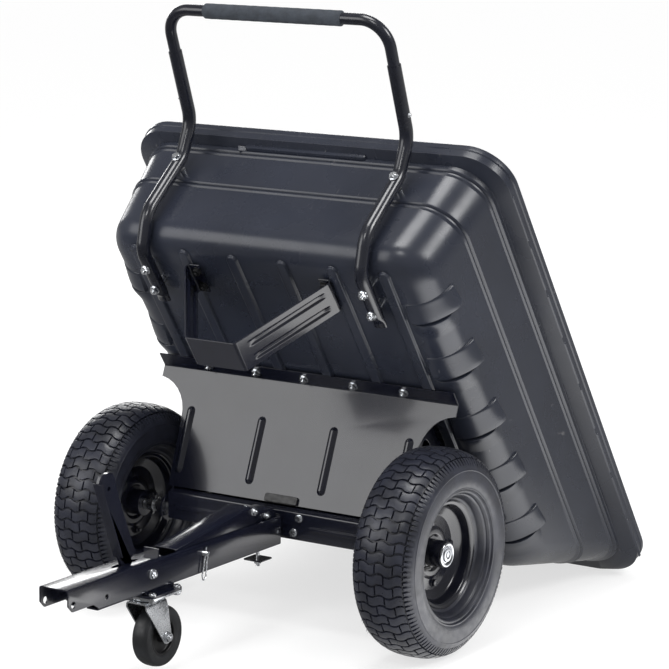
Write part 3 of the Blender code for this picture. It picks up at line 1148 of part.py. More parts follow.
# Rubber buffer on the lower middle of the front plate
buffer_outline = flat(rounded(box_outline(-BUFFER_HALF_WIDTH, PLATE_BOTTOM_RADIUS + 0.0006, BUFFER_HALF_WIDTH,
                                          PLATE_BOTTOM_RADIUS + 0.0165), [0.002, 0.002, 0.005, 0.005], 3))
buffer_shape = bmesh.new()
loft(buffer_shape, [[front_plate_place(a, b, SHEET + FIT) for a, b in buffer_outline],
                    [front_plate_place(a, b, SHEET + 0.0050) for a, b in buffer_outline]])
stop_buffer = add_object("stop_buffer", buffer_shape)
studs = bmesh.new()
for sign in (1, -1):
    points = circle(sign * 0.024, PLATE_BOTTOM_RADIUS + 0.009, 0.0019, 6)
    loft(studs, [[front_plate_place(a, b, -0.0012) for a, b in points],
                 [front_plate_place(a, b, SHEET + 0.002) for a, b in points]])
dress(combine(stop_buffer, add_object("buffer_studs", studs), "UNION"), BLACK_PLASTIC, tub_pivot)


# Pivot plates: side cheeks between the two pressed plates, bored for the axle bar

def pivot_outline():
    """V shape: round hub, straight arms behind each pressed plate, and a top tie."""
    gap = 2 * FIT / cos(PLATE_LEAN)
    top = FLOOR_OVER_AXLE - RIB_HEIGHT - FIT
    arm_low = PLATE_BOTTOM_RADIUS - 0.003
    hub = [(PIVOT_HUB_RADIUS * cos(a), PIVOT_HUB_RADIUS * sin(a))
           for a in (radians(-205 + 23 * i) for i in range(11))]
    start = [(arm_low * sin(PLATE_LEAN) - gap, arm_low * cos(PLATE_LEAN)), (top * tan(PLATE_LEAN) - gap, top)]
    outer = hub + start + [(-y, z) for y, z in reversed(start)]
    window = [(0, 0.085), (0.100, top - 0.030), (-0.100, top - 0.030)]
    return outer, flat(rounded(window, [0.010, 0.012, 0.012], 3))


for pivot_side, pivot_sign in (("right", 1), ("left", -1)):
    outer_line, window_line = pivot_outline()
    shape = bmesh.new()
    prism(shape, "X", outer_line, pivot_sign * PIVOT_INNER_X, pivot_sign * PIVOT_OUTER_X,
          [circle(0, 0, AXLE_RADIUS + FIT, 16), window_line])
    add_object("pivot_plate_" + pivot_side, shape, FRAME_PAINT, tub_pivot)


# Saddle bracket under the tub floor: its feet fold inwards under the ribs

saddle_skin = HEAVY_SHEET
saddle_foot = FOOT_LEVEL - saddle_skin
saddle_flat = -SADDLE_DEPTH + saddle_skin
saddle_path = rounded([(SADDLE_FOOT_X - SADDLE_FOOT_LENGTH, saddle_foot), (SADDLE_FOOT_X, saddle_foot),
                       (SADDLE_HALF_FLAT, saddle_flat), (-SADDLE_HALF_FLAT, saddle_flat),
                       (-SADDLE_FOOT_X, saddle_foot), (-SADDLE_FOOT_X + SADDLE_FOOT_LENGTH, saddle_foot)],
                      [0, 0.006, 0.006, 0.006, 0.006, 0], 2, closed=False)
saddle_shape = bmesh.new()
saddle_section = [(x, lowered(0, n)[1]) for x, n in strip(saddle_path, saddle_skin, 1)]
prism(saddle_shape, "Y", saddle_section, lowered(SADDLE_FRONT, 0)[0], lowered(SADDLE_REAR, 0)[0])
saddle = add_object("saddle_bracket", saddle_shape)
saddle_cut = bmesh.new()
leg_run = SADDLE_FOOT_X - SADDLE_HALF_FLAT
leg_rise = saddle_foot - saddle_flat
leg_turn = atan2(leg_rise, leg_run)
for sign in (1, -1):
    along = Vector((sign * cos(leg_turn), 0, sin(leg_turn)))
    away = Vector((sign * sin(leg_turn), 0, -cos(leg_turn)))
    y0, z0 = lowered((SADDLE_FRONT + SADDLE_REAR) / 2, saddle_flat)
    start = Vector((sign * SADDLE_HALF_FLAT, y0, z0))
    for shift in (-0.016, 0.016):
        line = stadium(0.030, hypot(leg_run, leg_rise) - 0.030, shift, 0.009, 3)
        loft(saddle_cut, [[start + along * a + Vector((0, b, 0)) + away * (saddle_skin - 0.0012) for a, b in line],
                          [start + along * a + Vector((0, b, 0)) + away * (saddle_skin + 0.004) for a, b in line]])
saddle = combine(saddle, add_object("saddle_cutter", saddle_cut), "DIFFERENCE")
dress(floor_bolts_on(saddle, saddle_bolts, saddle_foot), FRAME_PAINT, tub_pivot)


# Handle: two bent legs, a bow that slides into them and a foam grip

LEG_FLOOR_N = -0.0215
BOW_SLOPE = 0.2597
LEG_TOP_U = -0.567


def bow_line(u):
    return 0.245 - (u + 0.42) * BOW_SLOPE


leg_points = [(-0.190, LEG_FLOOR_N), (-0.317, LEG_FLOOR_N), (-0.369, 0.034), (-0.383, 0.182), (-0.424, bow_line(-0.424)),
              (LEG_TOP_U, bow_line(LEG_TOP_U))]
leg_radii = [0, 0.040, 0.070, 0.060, 0.060, 0]
for leg_side, leg_sign in (("right", 1), ("left", -1)):
    path = rounded([(leg_sign * LEG_X, *lowered(u, n)) for u, n in leg_points], leg_radii, 2, closed=False)
    shape = bmesh.new()
    tube(shape, path, LEG_RADIUS, LEG_WALL, (1, 0, 0))
    leg = add_object("handle_leg_" + leg_side, shape)
    cut = bmesh.new()
    button_y, button_z = lowered(HANDLE_BUTTON_U, bow_line(HANDLE_BUTTON_U))
    prism(cut, "X", circle(button_y, button_z, 0.0040, 8), leg_sign * LEG_X, leg_sign * (LEG_X + 0.03))
    leg = combine(leg, add_object("leg_cutter", cut), "DIFFERENCE")
    leg = floor_bolts_on(leg, [(x, u) for x, u in handle_bolts if x * leg_sign > 0], LEG_FLOOR_N - LEG_RADIUS, 0.0065)
    wall_bolt = bmesh.new()
    wall_y, wall_z = lowered(*HANDLE_WALL_BOLT)
    (u_low, n_low), (u_high, n_high) = leg_points[2:4]
    leg_u = u_low + (u_high - u_low) * (HANDLE_WALL_BOLT[1] - n_low) / (n_high - n_low)
    y_leg = lowered(leg_u - LEG_RADIUS, 0)[0]
    tub_face = FLOOR_FRONT - FRONT_SLOPE * HANDLE_WALL_BOLT[1]
    y_face = lowered(tub_face, 0)[0]
    y_tub = y_face + WALL + 4 * FIT
    bolt(wall_bolt, "Y", (leg_sign * LEG_X, 0, wall_z),
         [(y_leg - 0.0060, 0.0060), (y_leg + 0.001, 0.0060), (y_leg + 0.001, SMALL_BOLT),
          (y_leg + 2 * LEG_RADIUS - 0.0005, SMALL_BOLT), (y_leg + 2 * LEG_RADIUS - 0.0005, 0.0065),
          (y_face - 2 * FIT, 0.0065), (y_face - 2 * FIT, SMALL_BOLT), (y_tub, SMALL_BOLT), (y_tub, 0.0085),
          (y_tub + 0.0026, 0.0050)])
    dress(combine(leg, add_object("wall_bolt", wall_bolt), "UNION"), TUBE_PAINT, tub_pivot)

bow_top = (*lowered(BOW_TOP_U, bow_line(BOW_TOP_U)),)
bow_foot = (*lowered(LEG_TOP_U + BOW_INSERT * 1.9, bow_line(LEG_TOP_U + BOW_INSERT * 1.9)),)
bow_path = rounded([(LEG_X, *bow_foot), (LEG_X, *bow_top), (-LEG_X, *bow_top), (-LEG_X, *bow_foot)],
                   [0, BOW_CORNER_RADIUS, BOW_CORNER_RADIUS, 0], 3, closed=False)
bow_normal = Vector((0, BOW_SLOPE, 1)).normalized()
shape = bmesh.new()
tube(shape, bow_path, BOW_RADIUS, BOW_WALL, bow_normal)
bow = add_object("handle_bow", shape)
cut = bmesh.new()
for sign in (1, -1):
    prism(cut, "X", circle(button_y, button_z, 0.0040, 8), sign * LEG_X, sign * (LEG_X + 0.03))
dress(combine(bow, add_object("bow_cutter", cut), "DIFFERENCE"), TUBE_PAINT, tub_pivot)

grip = bmesh.new()
bore = BOW_RADIUS + FIT
turned(grip, "X", [(bore, -GRIP_HALF_LENGTH), (GRIP_RADIUS - 0.0015, -GRIP_HALF_LENGTH),
                   (GRIP_RADIUS, 0.0015 - GRIP_HALF_LENGTH), (GRIP_RADIUS, GRIP_HALF_LENGTH - 0.0015),
                   (GRIP_RADIUS - 0.0015, GRIP_HALF_LENGTH), (bore, GRIP_HALF_LENGTH)], 16, ring=True,
       centre=(0, *bow_top))
add_object("handle_grip", grip, FOAM, tub_pivot, 40)

for button_side, sign in (("right", 1), ("left", -1)):
    shape = bmesh.new()
    turned(shape, "X", [(r, sign * x) for r, x in
                        ((0.0052, LEG_X + 0.0040), (0.0052, LEG_X + 0.0070), (0.0036, LEG_X + 0.0070),
                         (0.0036, LEG_X + LEG_RADIUS + 0.0022), (0.0022, LEG_X + LEG_RADIUS + 0.0036))], 8,
           centre=(0, button_y, button_z))
    add_object("handle_button_" + button_side, shape, ZINC, tub_pivot)
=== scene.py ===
import json
from math import atan2, cos, hypot, pi, radians, sin, tan
import bmesh
import bpy
import numpy as np
from mathutils import Matrix, Vector

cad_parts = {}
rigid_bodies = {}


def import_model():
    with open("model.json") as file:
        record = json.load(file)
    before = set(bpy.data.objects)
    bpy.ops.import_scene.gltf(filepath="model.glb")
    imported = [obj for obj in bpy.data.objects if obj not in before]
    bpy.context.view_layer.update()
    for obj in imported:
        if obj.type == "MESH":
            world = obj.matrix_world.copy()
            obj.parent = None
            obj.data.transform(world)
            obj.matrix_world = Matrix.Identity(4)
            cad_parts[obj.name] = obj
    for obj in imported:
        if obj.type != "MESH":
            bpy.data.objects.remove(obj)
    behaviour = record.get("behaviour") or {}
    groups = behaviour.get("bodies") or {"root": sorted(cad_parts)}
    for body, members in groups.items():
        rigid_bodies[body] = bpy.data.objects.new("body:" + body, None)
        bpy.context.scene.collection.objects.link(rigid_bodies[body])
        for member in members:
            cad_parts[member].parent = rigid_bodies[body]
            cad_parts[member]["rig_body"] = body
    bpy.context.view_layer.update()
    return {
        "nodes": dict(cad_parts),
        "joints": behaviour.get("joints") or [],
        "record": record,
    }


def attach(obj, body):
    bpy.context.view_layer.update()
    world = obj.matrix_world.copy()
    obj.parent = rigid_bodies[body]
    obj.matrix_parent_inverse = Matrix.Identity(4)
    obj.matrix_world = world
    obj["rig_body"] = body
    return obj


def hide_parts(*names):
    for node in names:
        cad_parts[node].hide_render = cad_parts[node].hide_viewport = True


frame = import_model()
print("frame loaded:", len(frame["nodes"]), "nodes")

jointPlace = {joint["name"]: np.array(joint["pos_m"]) for joint in frame["joints"]}
axleY, axleZ = jointPlace["tub_tip"][1:]
tip = {"angle": radians(55.08), "axleU": 0.174, "floorOver": 0.2427}  # the tub over its axle bar


# Camera, at the photograph's place and angle

cameraLook = {
    "place": (3.0112, -4.4298 + axleY, 1.5563),
    "azimuth": radians(33.045),
    "elevation": radians(10.341),
    "roll": radians(0.558),
    "lens": 152.35,
    "sensor": 36,
}


def makeCamera():
    # back points from the object to the camera; the roll turns right and up about it
    a, e, r = (cameraLook[key] for key in ("azimuth", "elevation", "roll"))
    back = Vector((sin(a) * cos(e), -cos(a) * cos(e), sin(e)))
    right = Vector((cos(a), sin(a), 0))
    up = back.cross(right)
    across = right * cos(r) + up * sin(r)
    upright = up * cos(r) - right * sin(r)
    data = bpy.data.cameras.new("camera")
    data.lens = cameraLook["lens"]
    data.sensor_width = cameraLook["sensor"]
    camera = bpy.data.objects.new("camera", data)
    facing = Matrix((across, upright, back)).transposed().to_4x4()
    camera.matrix_world = Matrix.Translation(cameraLook["place"]) @ facing
    bpy.context.scene.collection.objects.link(camera)
    bpy.context.scene.camera = camera


makeCamera()
print("camera placed")


# Mesh helpers: parts are pairs of a point array and a list of faces

def gridFaces(rows, cols, wrapRows=False, wrapCols=True):
    # four-sided faces between neighbouring points of a grid, which may wrap round either way
    r = np.arange(rows if wrapRows else rows - 1)
    c = np.arange(cols if wrapCols else cols - 1)
    r, c = np.meshgrid(r, c, indexing="ij")
    r2, c2 = (r + 1) % rows, (c + 1) % cols
    corners = [r * cols + c, r * cols + c2, r2 * cols + c2, r2 * cols + c]
    return np.stack(corners, axis=-1).reshape(-1, 4).tolist()


def gridPart(grid, wrapRows=False, wrapCols=True, caps=False):
    # a grid of points with its faces, and caps on its first and last rows if asked
    rows, cols = grid.shape[:2]
    faces = gridFaces(rows, cols, wrapRows, wrapCols)
    if caps:
        faces += [list(range(cols))[::-1], list(range((rows - 1) * cols, rows * cols))]
    return grid.reshape(-1, 3), faces


def liddedPart(rings):
    # rings stacked into a wall, with a lid on the last ring
    points, faces = gridPart(np.stack(rings))
    return points, faces + [list(range(len(points) - len(rings[-1]), len(points)))]


def dressPiece(piece, slotName, body, replaces=(), sharp=40):
    # its finish, its shading, smooth but for edges over the sharp angle, its body and the solids it covers
    bpy.context.scene.collection.objects.link(piece)
    piece.data.materials.clear()
    piece.data.materials.append(finishes[slotName])
    piece.data.shade_smooth()
    piece.data.set_sharp_from_angle(angle=radians(sharp))
    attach(piece, body)
    if replaces:
        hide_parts(*replaces)


def makePiece(name, parts, slotName, body, replaces=(), sharp=40):
    # parts joined into one mesh: points that meet are welded, and the faces turned outwards
    points, faces, first = [], [], 0
    for part, partFaces in parts:
        points.append(np.asarray(part, float))
        faces += [[index + first for index in face] for face in partFaces]
        first += len(part)
    mesh = bpy.data.meshes.new(name)
    mesh.from_pydata(np.concatenate(points), [], faces)
    work = bmesh.new()
    work.from_mesh(mesh)
    bmesh.ops.remove_doubles(work, verts=work.verts, dist=1e-6)
    bmesh.ops.recalc_face_normals(work, faces=work.faces)
    work.to_mesh(mesh)
    work.free()
    dressPiece(bpy.data.objects.new(name, mesh), slotName, body, replaces, sharp)


def basis(direction):
    # a unit vector along a direction and two square to it
    d = np.asarray(direction, float) / np.linalg.norm(direction)
    helper = np.array([1.0, 0, 0]) if abs(d[0]) < 0.9 else np.array([0, 1.0, 0])
    a = np.cross(d, helper)
    a /= np.linalg.norm(a)
    return d, a, np.cross(d, a)


def turned(profile, centre, direction, sides=48, closed=False, phase=0.0, shape=None):
    # a profile of (radius, distance along) turned round an axis; shape scales the radius by the turn
    d, a, b = basis(direction)
    profile = np.asarray(profile, float)
    turn = phase + 2 * pi * np.arange(sides) / sides
    radius = profile[:, 0:1] * np.ones(sides)
    if shape is not None:
        radius = shape(radius, turn)
    grid = (np.asarray(centre, float) + profile[:, 1, None, None] * d
            + radius[..., None] * (np.cos(turn)[:, None] * a + np.sin(turn)[:, None] * b))
    ends = profile[0, 0] > 1e-6 or profile[-1, 0] > 1e-6
    return gridPart(grid, wrapRows=closed, caps=ends and not closed)


def roundedPath(points, radii, steps=10):
    # a path with its corners turned into arcs, in any number of dimensions
    points = [np.asarray(p, float) for p in points]
    path = [points[0]]
    for i in range(1, len(points) - 1):
        corner, r = points[i], radii[i]
        before, after = points[i - 1] - corner, points[i + 1] - corner
        before, after = before / np.linalg.norm(before), after / np.linalg.norm(after)
        spread = np.arccos(np.clip(before @ after, -1, 1))
        if r <= 0 or spread > pi - 1e-4:
            path.append(corner)
            continue
        middle = (before + after) / np.linalg.norm(before + after)
        centre = corner + middle * r / sin(spread / 2)
        first = corner + before * r / tan(spread / 2) - centre
        last = corner + after * r / tan(spread / 2) - centre
        turn = pi - spread
        for part in np.linspace(0, 1, steps):
            path.append(centre + (first * sin((1 - part) * turn) + last * sin(part * turn)) / sin(turn))
    path.append(points[-1])
    return np.array(path)


def unitAlong(path):
    # unit vectors along a path
    along = np.gradient(path, axis=0)
    return along / np.linalg.norm(along, axis=1)[:, None]


def leftOf(along):
    # unit vectors to the left of a flat path's direction
    return np.stack([-along[:, 1], along[:, 0]], axis=1)


def swept(path, radius, sideAxis, sides=32, wall=None):
    # a round tube along a path in a plane: circles square to the path, hollow if it has a wall
    side = np.asarray(sideAxis, float) / np.linalg.norm(sideAxis)
    across = np.cross(unitAlong(path), side)
    across /= np.linalg.norm(across, axis=1)[:, None]
    turn = 2 * pi * np.arange(sides) / sides
    ring = np.cos(turn)[None, :, None] * side + np.sin(turn)[None, :, None] * across[:, None, :]
    outer = path[:, None, :] + radius * ring
    if wall is None:
        return gridPart(outer, caps=True)
    inner = path[::-1, None, :] + (radius - wall) * ring[::-1]
    return gridPart(np.concatenate([outer, inner]), wrapRows=True)


def smoothStep(value, start, end):
    # nought before the start, one past the end, and a smooth ease between
    t = np.clip((value - start) / (end - start), 0, 1)
    return t * t * (3 - 2 * t)


def fromLevel(x, y, z):
    # the level frame about the axle axis, turned by the tip angle into the world
    c, s = cos(tip["angle"]), sin(tip["angle"])
    x, y, z = np.broadcast_arrays(np.asarray(x, float), y, z)
    return np.stack([x, axleY + y * c + z * s, axleZ + z * c - y * s], axis=-1)


def fromTub(x, u, n):
    # tub coordinates: across, along the floor to the rear, and up from the floor
    return fromLevel(x, np.asarray(u, float) - tip["axleU"], np.asarray(n, float) + tip["floorOver"])


tubUp = fromTub(0, 0, 1) - fromTub(0, 0, 0)
tubRear = fromTub(0, 1, 0) - fromTub(0, 0, 0)


# Finishes

def setInputs(node, values):
    # plain values for a node's sockets, by their names
    for socket, value in values.items():
        node.inputs[socket].default_value = value


def mapRange(tree, source, fromRange, toRange):
    # a node that carries one range over into another
    node = tree.nodes.new("ShaderNodeMapRange")
    setInputs(node, dict(zip(("From Min", "From Max", "To Min", "To Max"), (*fromRange, *toRange))))
    tree.links.new(source, node.inputs["Value"])
    return node


def noiseNode(tree, coords, scale, detail, stretch=None):
    # noise over the object's own coordinates, drawn out along its axes if stretched
    noise = tree.nodes.new("ShaderNodeTexNoise")
    setInputs(noise, {"Scale": scale, "Detail": detail})
    if stretch:
        mapping = tree.nodes.new("ShaderNodeMapping")
        mapping.inputs["Scale"].default_value = stretch
        tree.links.new(coords, mapping.inputs["Vector"])
        coords = mapping.outputs["Vector"]
    tree.links.new(coords, noise.inputs["Vector"])
    return noise


scratchLook = {"stretch": (210, 9, 60), "wander": 0.3, "crests": (0.72, 0.80), "colour": (1, 0.95, 0.9, 1)}


def addScratches(tree, coords, colour, amount):
    # sparse pale hairlines: the crests of a noise drawn out along one slanted direction
    lines = noiseNode(tree, coords, 1.0, 2.0, scratchLook["stretch"])
    lines.inputs["Distortion"].default_value = scratchLook["wander"]
    crest = mapRange(tree, lines.outputs["Fac"], scratchLook["crests"], (0, amount))
    marked = tree.nodes.new("ShaderNodeMix")
    marked.data_type = "RGBA"
    marked.inputs["B"].default_value = scratchLook["colour"]
    tree.links.new(crest.outputs["Result"], marked.inputs["Factor"])
    tree.links.new(colour, marked.inputs["A"])
    return marked.outputs["Result"]


def makeFinish(name, look):
    # colour and roughness drift over broad patches, and a fine grain lifts the surface
    material = bpy.data.materials.new(name)
    material.use_nodes = True
    tree = material.node_tree
    shader = tree.nodes["Principled BSDF"]
    setInputs(shader, {"Metallic": look.get("metallic", 0.0), "Coat Weight": look.get("coat", 0.0),
                       "Coat Roughness": look.get("coatRoughness", 0.1)})
    coords = tree.nodes.new("ShaderNodeTexCoord").outputs["Object"]
    stretch = look.get("stretch")
    middle = (0.35, 0.65)  # the noise's usual values, spread over the whole drift
    broad = noiseNode(tree, coords, look["patchScale"], 4.0, stretch)
    shade = mapRange(tree, broad.outputs["Fac"], middle, (0.0, 1.0))
    mix = tree.nodes.new("ShaderNodeMix")
    mix.data_type = "RGBA"
    colour = np.array(look["colour"])
    setInputs(mix, {"A": (*(colour * (1 - look["drift"])), 1), "B": (*(colour * (1 + look["drift"])), 1)})
    tree.links.new(shade.outputs["Result"], mix.inputs["Factor"])
    tone = mix.outputs["Result"]
    if "scratches" in look:
        tone = addScratches(tree, coords, tone, look["scratches"])
    tree.links.new(tone, shader.inputs["Base Color"])
    wear = noiseNode(tree, coords, look["patchScale"] * 2.7, 4.0, stretch)
    rough = mapRange(tree, wear.outputs["Fac"], middle, look["roughness"])
    tree.links.new(rough.outputs["Result"], shader.inputs["Roughness"])
    if look.get("cells"):
        cells = tree.nodes.new("ShaderNodeTexVoronoi")
        cells.inputs["Scale"].default_value = look["grainScale"]
        tree.links.new(coords, cells.inputs["Vector"])
        height = cells.outputs["Distance"]
    else:
        height = noiseNode(tree, coords, look["grainScale"], 3.0, stretch).outputs["Fac"]
    bump = tree.nodes.new("ShaderNodeBump")
    setInputs(bump, {"Strength": look["grain"], "Distance": look["grainHeight"]})
    tree.links.new(height, bump.inputs["Height"])
    tree.links.new(bump.outputs["Normal"], shader.inputs["Normal"])
    return material


# the dark colours of the plastic, paints, tyres and foam are the things' own near-black tones with painted
# light in them: their extra blue stands in for the bluish cast of the reflections
looks = {
    "tub_plastic": {"colour": (0.0170, 0.0198, 0.0300), "drift": 0.15, "patchScale": 4, "scratches": 0.05,
                    "roughness": (0.24, 0.33), "grainScale": 520, "grain": 0.10, "grainHeight": 0.0004},
    "frame_paint": {"colour": (0.0050, 0.0058, 0.0120), "drift": 0.2, "patchScale": 6,
                    "roughness": (0.20, 0.24), "grainScale": 340, "grain": 0.02, "grainHeight": 0.0002,
                    "coat": 0.5, "coatRoughness": 0.10},
    "tube_paint": {"colour": (0.0060, 0.0070, 0.0125), "drift": 0.15, "patchScale": 12,
                   "roughness": (0.24, 0.30), "grainScale": 300, "grain": 0.03, "grainHeight": 0.0003,
                   "coat": 0.4, "coatRoughness": 0.15},
    "rim_paint": {"colour": (0.0045, 0.0050, 0.0100), "drift": 0.2, "patchScale": 14,
                  "roughness": (0.18, 0.24), "grainScale": 260, "grain": 0.03, "grainHeight": 0.0003,
                  "coat": 0.2, "coatRoughness": 0.08},
    "zinc": {"colour": (0.80, 0.82, 0.85), "drift": 0.05, "patchScale": 30, "roughness": (0.20, 0.30),
             "grainScale": 500, "grain": 0.002, "grainHeight": 0.0001, "metallic": 1.0},
    "chrome": {"colour": (0.42, 0.43, 0.45), "drift": 0.03, "patchScale": 60, "roughness": (0.06, 0.14),
               "grainScale": 700, "grain": 0.02, "grainHeight": 0.0001, "metallic": 1.0},
    "tyre_rubber": {"colour": (0.0150, 0.0165, 0.0255), "drift": 0.25, "patchScale": 26,
                    "roughness": (0.30, 0.44), "grainScale": 420, "grain": 0.35, "grainHeight": 0.0007},
    "caster_rubber": {"colour": (0.012, 0.013, 0.015), "drift": 0.2, "patchScale": 40,
                      "roughness": (0.36, 0.50), "grainScale": 700, "grain": 0.2, "grainHeight": 0.0003},
    "black_plastic": {"colour": (0.007, 0.007, 0.008), "drift": 0.2, "patchScale": 50,
                      "roughness": (0.32, 0.48), "grainScale": 800, "grain": 0.15, "grainHeight": 0.0003},
    "foam": {"colour": (0.030, 0.036, 0.046), "drift": 0.18, "patchScale": 60, "roughness": (0.78, 0.92),
             "grainScale": 900, "grain": 0.5, "grainHeight": 0.0006, "cells": True},
    "steel_bar": {"colour": (0.42, 0.42, 0.43), "drift": 0.15, "patchScale": 50, "roughness": (0.3, 0.45),
                  "grainScale": 500, "grain": 0.1, "grainHeight": 0.0002, "metallic": 1.0,
                  "stretch": (0.05, 1, 1)},
}
finishes = {name: makeFinish(name, look) for name, look in looks.items()}
nodeSlot = {row["node"]: row["material_slot"] for row in frame["record"]["subparts"]}
for nodeName, node in frame["nodes"].items():
    node.data.materials.clear()
    node.data.materials.append(finishes[nodeSlot[nodeName]])
    for face in node.data.polygons:
        face.material_index = 0
print("finishes made:", len(finishes))


# Pressed and folded steel: copies of the solids with their edges eased

easedEdges = {
    "cross_member": 0.0008, "axle_bracket": 0.0006, "drawbar": 0.0009, "tongue": 0.0008,
    "tongue_bracket": 0.0008, "clamp_plate_inner": 0.0004, "clamp_plate_outer": 0.0007,
    "caster_pad": 0.0006, "caster_plate": 0.0008, "caster_fork": 0.0008, "latch_lever": 0.0010,
    "front_plate": 0.0008, "rear_plate": 0.0008, "pivot_plate_right": 0.0008, "pivot_plate_left": 0.0008,
    "stop_buffer": 0.0008,
}
easeAngle = 32  # degrees; flatter edges stay as they are


def easeNode(name, width):
    # a copy of a solid without its flat seams, whose edges over the ease angle get a two-step bevel
    mesh = frame["nodes"][name].data.copy()
    work = bmesh.new()
    work.from_mesh(mesh)
    bmesh.ops.remove_doubles(work, verts=work.verts, dist=2e-6)
    bmesh.ops.dissolve_limit(work, angle_limit=radians(1.0), verts=work.verts, edges=work.edges)
    work.to_mesh(mesh)
    work.free()
    for key in ("custom_normal", "sharp_face", "sharp_edge"):
        if key in mesh.attributes:
            mesh.attributes.remove(mesh.attributes[key])
    piece = bpy.data.objects.new("eased_" + name, mesh)
    dressPiece(piece, nodeSlot[name], frame["nodes"][name]["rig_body"], (name,), easeAngle)
    bevel = piece.modifiers.new("easedEdges", "BEVEL")
    bevel.width = width
    bevel.segments = 2
    bevel.limit_method = "ANGLE"
    bevel.angle_limit = radians(easeAngle)


for nodeName, easeWidth in easedEdges.items():
    easeNode(nodeName, easeWidth)
print("steelwork eased:", len(easedEdges))


# Wheels

sides = (("right", 1), ("left", -1))
wheel = {"radius": 0.200, "width": 0.133, "track": 0.350, "hubHalf": 0.0325,
         "middle": 0.152, "sidePower": 0.8, "crownPower": 0.75}
casing = {
    "shoulder": (0.001, 0.010), "hollow": 0.0022, "hollowEnds": (0.006, 0.026), "skin": 0.0004,
    "rings": ((0.1640, 0.0008, 0.0014), (0.1285, 0.0013, 0.0012), (0.1255, 0.0012, -0.0014),
              (0.1215, 0.0016, 0.0010), (0.1165, 0.0012, -0.0012)),
    "ringsFrom": 0.012, "bead": ((0.0352, 0.1075), (0.0345, 0.1045), (0.0330, 0.1035), (0.0318, 0.1045)),
}
tread = {"rows": 60, "columns": 3, "half": 0.0560, "depth": 0.0046, "groove": 0.0032, "slot": 0.0021,
         "wave": 0.13, "top": 0.0002, "sink": 0.0004, "edgeDrop": 0.0003}
lug = {"count": 120, "start": 0.0005, "length": 0.0240, "short": 0.70, "half": 0.0036, "radius": 0.190,
       "top": 0.0004, "foot": 0.0062}
hair = {"count": 260, "seed": 7, "turns": (radians(-50), radians(230)), "lines": (-1, -0.34, 0.33, 1),
        "inset": 0.004, "spread": 0.002, "rise": (0.0025, 0.0060), "lean": 0.006, "bend": 0.001,
        "root": 0.001, "ring": ((0.0006, 0), (-0.0003, 0.0005), (-0.0003, -0.0005))}
rimForm = {
    "sheet": 0.0022,
    "corners": ((0.00015, 0.0262), (0.00015, 0.0310), (0.0040, 0.0360), (0.0040, 0.0440), (0.0008, 0.0500),
                (0.0008, 0.0720), (0.0110, 0.0920), (0.0300, 0.0955), (0.0315, 0.1015), (0.0340, 0.1042)),
    "radii": (0, 0.003, 0.003, 0.003, 0.003, 0.007, 0.010, 0.0030, 0.0022, 0),
}
rimBolts = {"count": 4, "circle": 0.060, "first": radians(5), "seat": 0.0032, "flats": 0.0125,
            "height": 0.0052, "washer": (0.0088, 0.0012), "endSeat": 0.0064, "endRadius": 0.0038,
            "endLength": 0.0050}


def tyreSection(turn):
    # a squared oval: the half width grows with the sine, and the height with the cosine
    s, c = np.sin(turn), np.cos(turn)
    x = wheel["width"] / 2 * np.sign(s) * np.abs(s) ** wheel["sidePower"]
    height = wheel["radius"] - wheel["middle"]
    return x, wheel["middle"] + height * np.sign(c) * np.abs(c) ** wheel["crownPower"]


sectionTurn = np.radians(np.linspace(-150, 150, 1201))
sectionX, sectionR = tyreSection(sectionTurn)
sectionLength = np.concatenate([[0], np.cumsum(np.hypot(np.diff(sectionX), np.diff(sectionR)))])
sectionLength -= np.interp(0, sectionTurn, sectionLength)


def onSection(along):
    # x and radius at a distance from the crown, read off the measured section
    return np.interp(along, sectionLength, sectionX), np.interp(along, sectionLength, sectionR)


def onTyre(along, lift):
    # a point by its distance from the crown along the section, moved out by lift square to the surface
    step = 0.0004
    x, r = onSection(along)
    x0, r0 = onSection(along - step)
    x1, r1 = onSection(along + step)
    size = np.maximum(np.hypot(x1 - x0, r1 - r0), 1e-9)
    return x - (r1 - r0) / size * lift, r + (x1 - x0) / size * lift


def roundWheel(x, r, turn, sign):
    # wheel coordinates into the world, about the axle bar
    x, r, turn = np.broadcast_arrays(np.asarray(x, float), r, turn)
    y, z = axleY + r * np.cos(turn), axleZ + r * np.sin(turn)
    return np.stack([sign * (wheel["track"] + x), y, z], axis=-1)


def carcass(sign):
    # the casing: sunk by the tread's depth under the crown, hollow at the shoulders, and ringed on the
    # sidewalls by bell curves of the radius (place, spread, rise)
    along = np.linspace(sectionLength[0], sectionLength[-1], 300)
    out, edge = np.abs(along), tread["half"]
    near, far = casing["shoulder"]
    sunk = tread["depth"] * (1 - smoothStep(out, edge + near, edge + far))
    near, far = casing["hollowEnds"]
    ease = smoothStep(out, edge, edge + near)
    sunk = sunk + casing["hollow"] * ease * (1 - smoothStep(out, edge + near, edge + far))
    x, r = onTyre(along, 0)
    ringed = sum(rise * np.exp(-((r - ring) / spread) ** 2) for ring, spread, rise in casing["rings"])
    ringed = np.where(out > edge + casing["ringsFrom"], ringed, 0)
    x, r = onTyre(along, ringed - sunk - casing["skin"])
    ends = np.array(casing["bead"])
    x = np.concatenate([-ends[::-1, 0], x, ends[:, 0]])
    r = np.concatenate([ends[::-1, 1], r, ends[:, 1]])
    turn = np.linspace(0, 2 * pi, 168, endpoint=False)
    return gridPart(roundWheel(x[:, None], r[:, None], turn, sign), wrapRows=True)


def patches(along, turn, height, sign):
    # many small patches of the tyre's surface at once, each a grid over along and turn
    along, turn, height = np.broadcast_arrays(along, turn, height)
    x, r = onTyre(along, height)
    points = roundWheel(x, r, turn, sign)
    count, m, n = points.shape[:3]
    faces = np.array(gridFaces(m, n, wrapCols=False))
    faces = (faces[None] + (np.arange(count) * m * n)[:, None, None]).reshape(-1, 4)
    return points.reshape(-1, 3), faces.tolist()


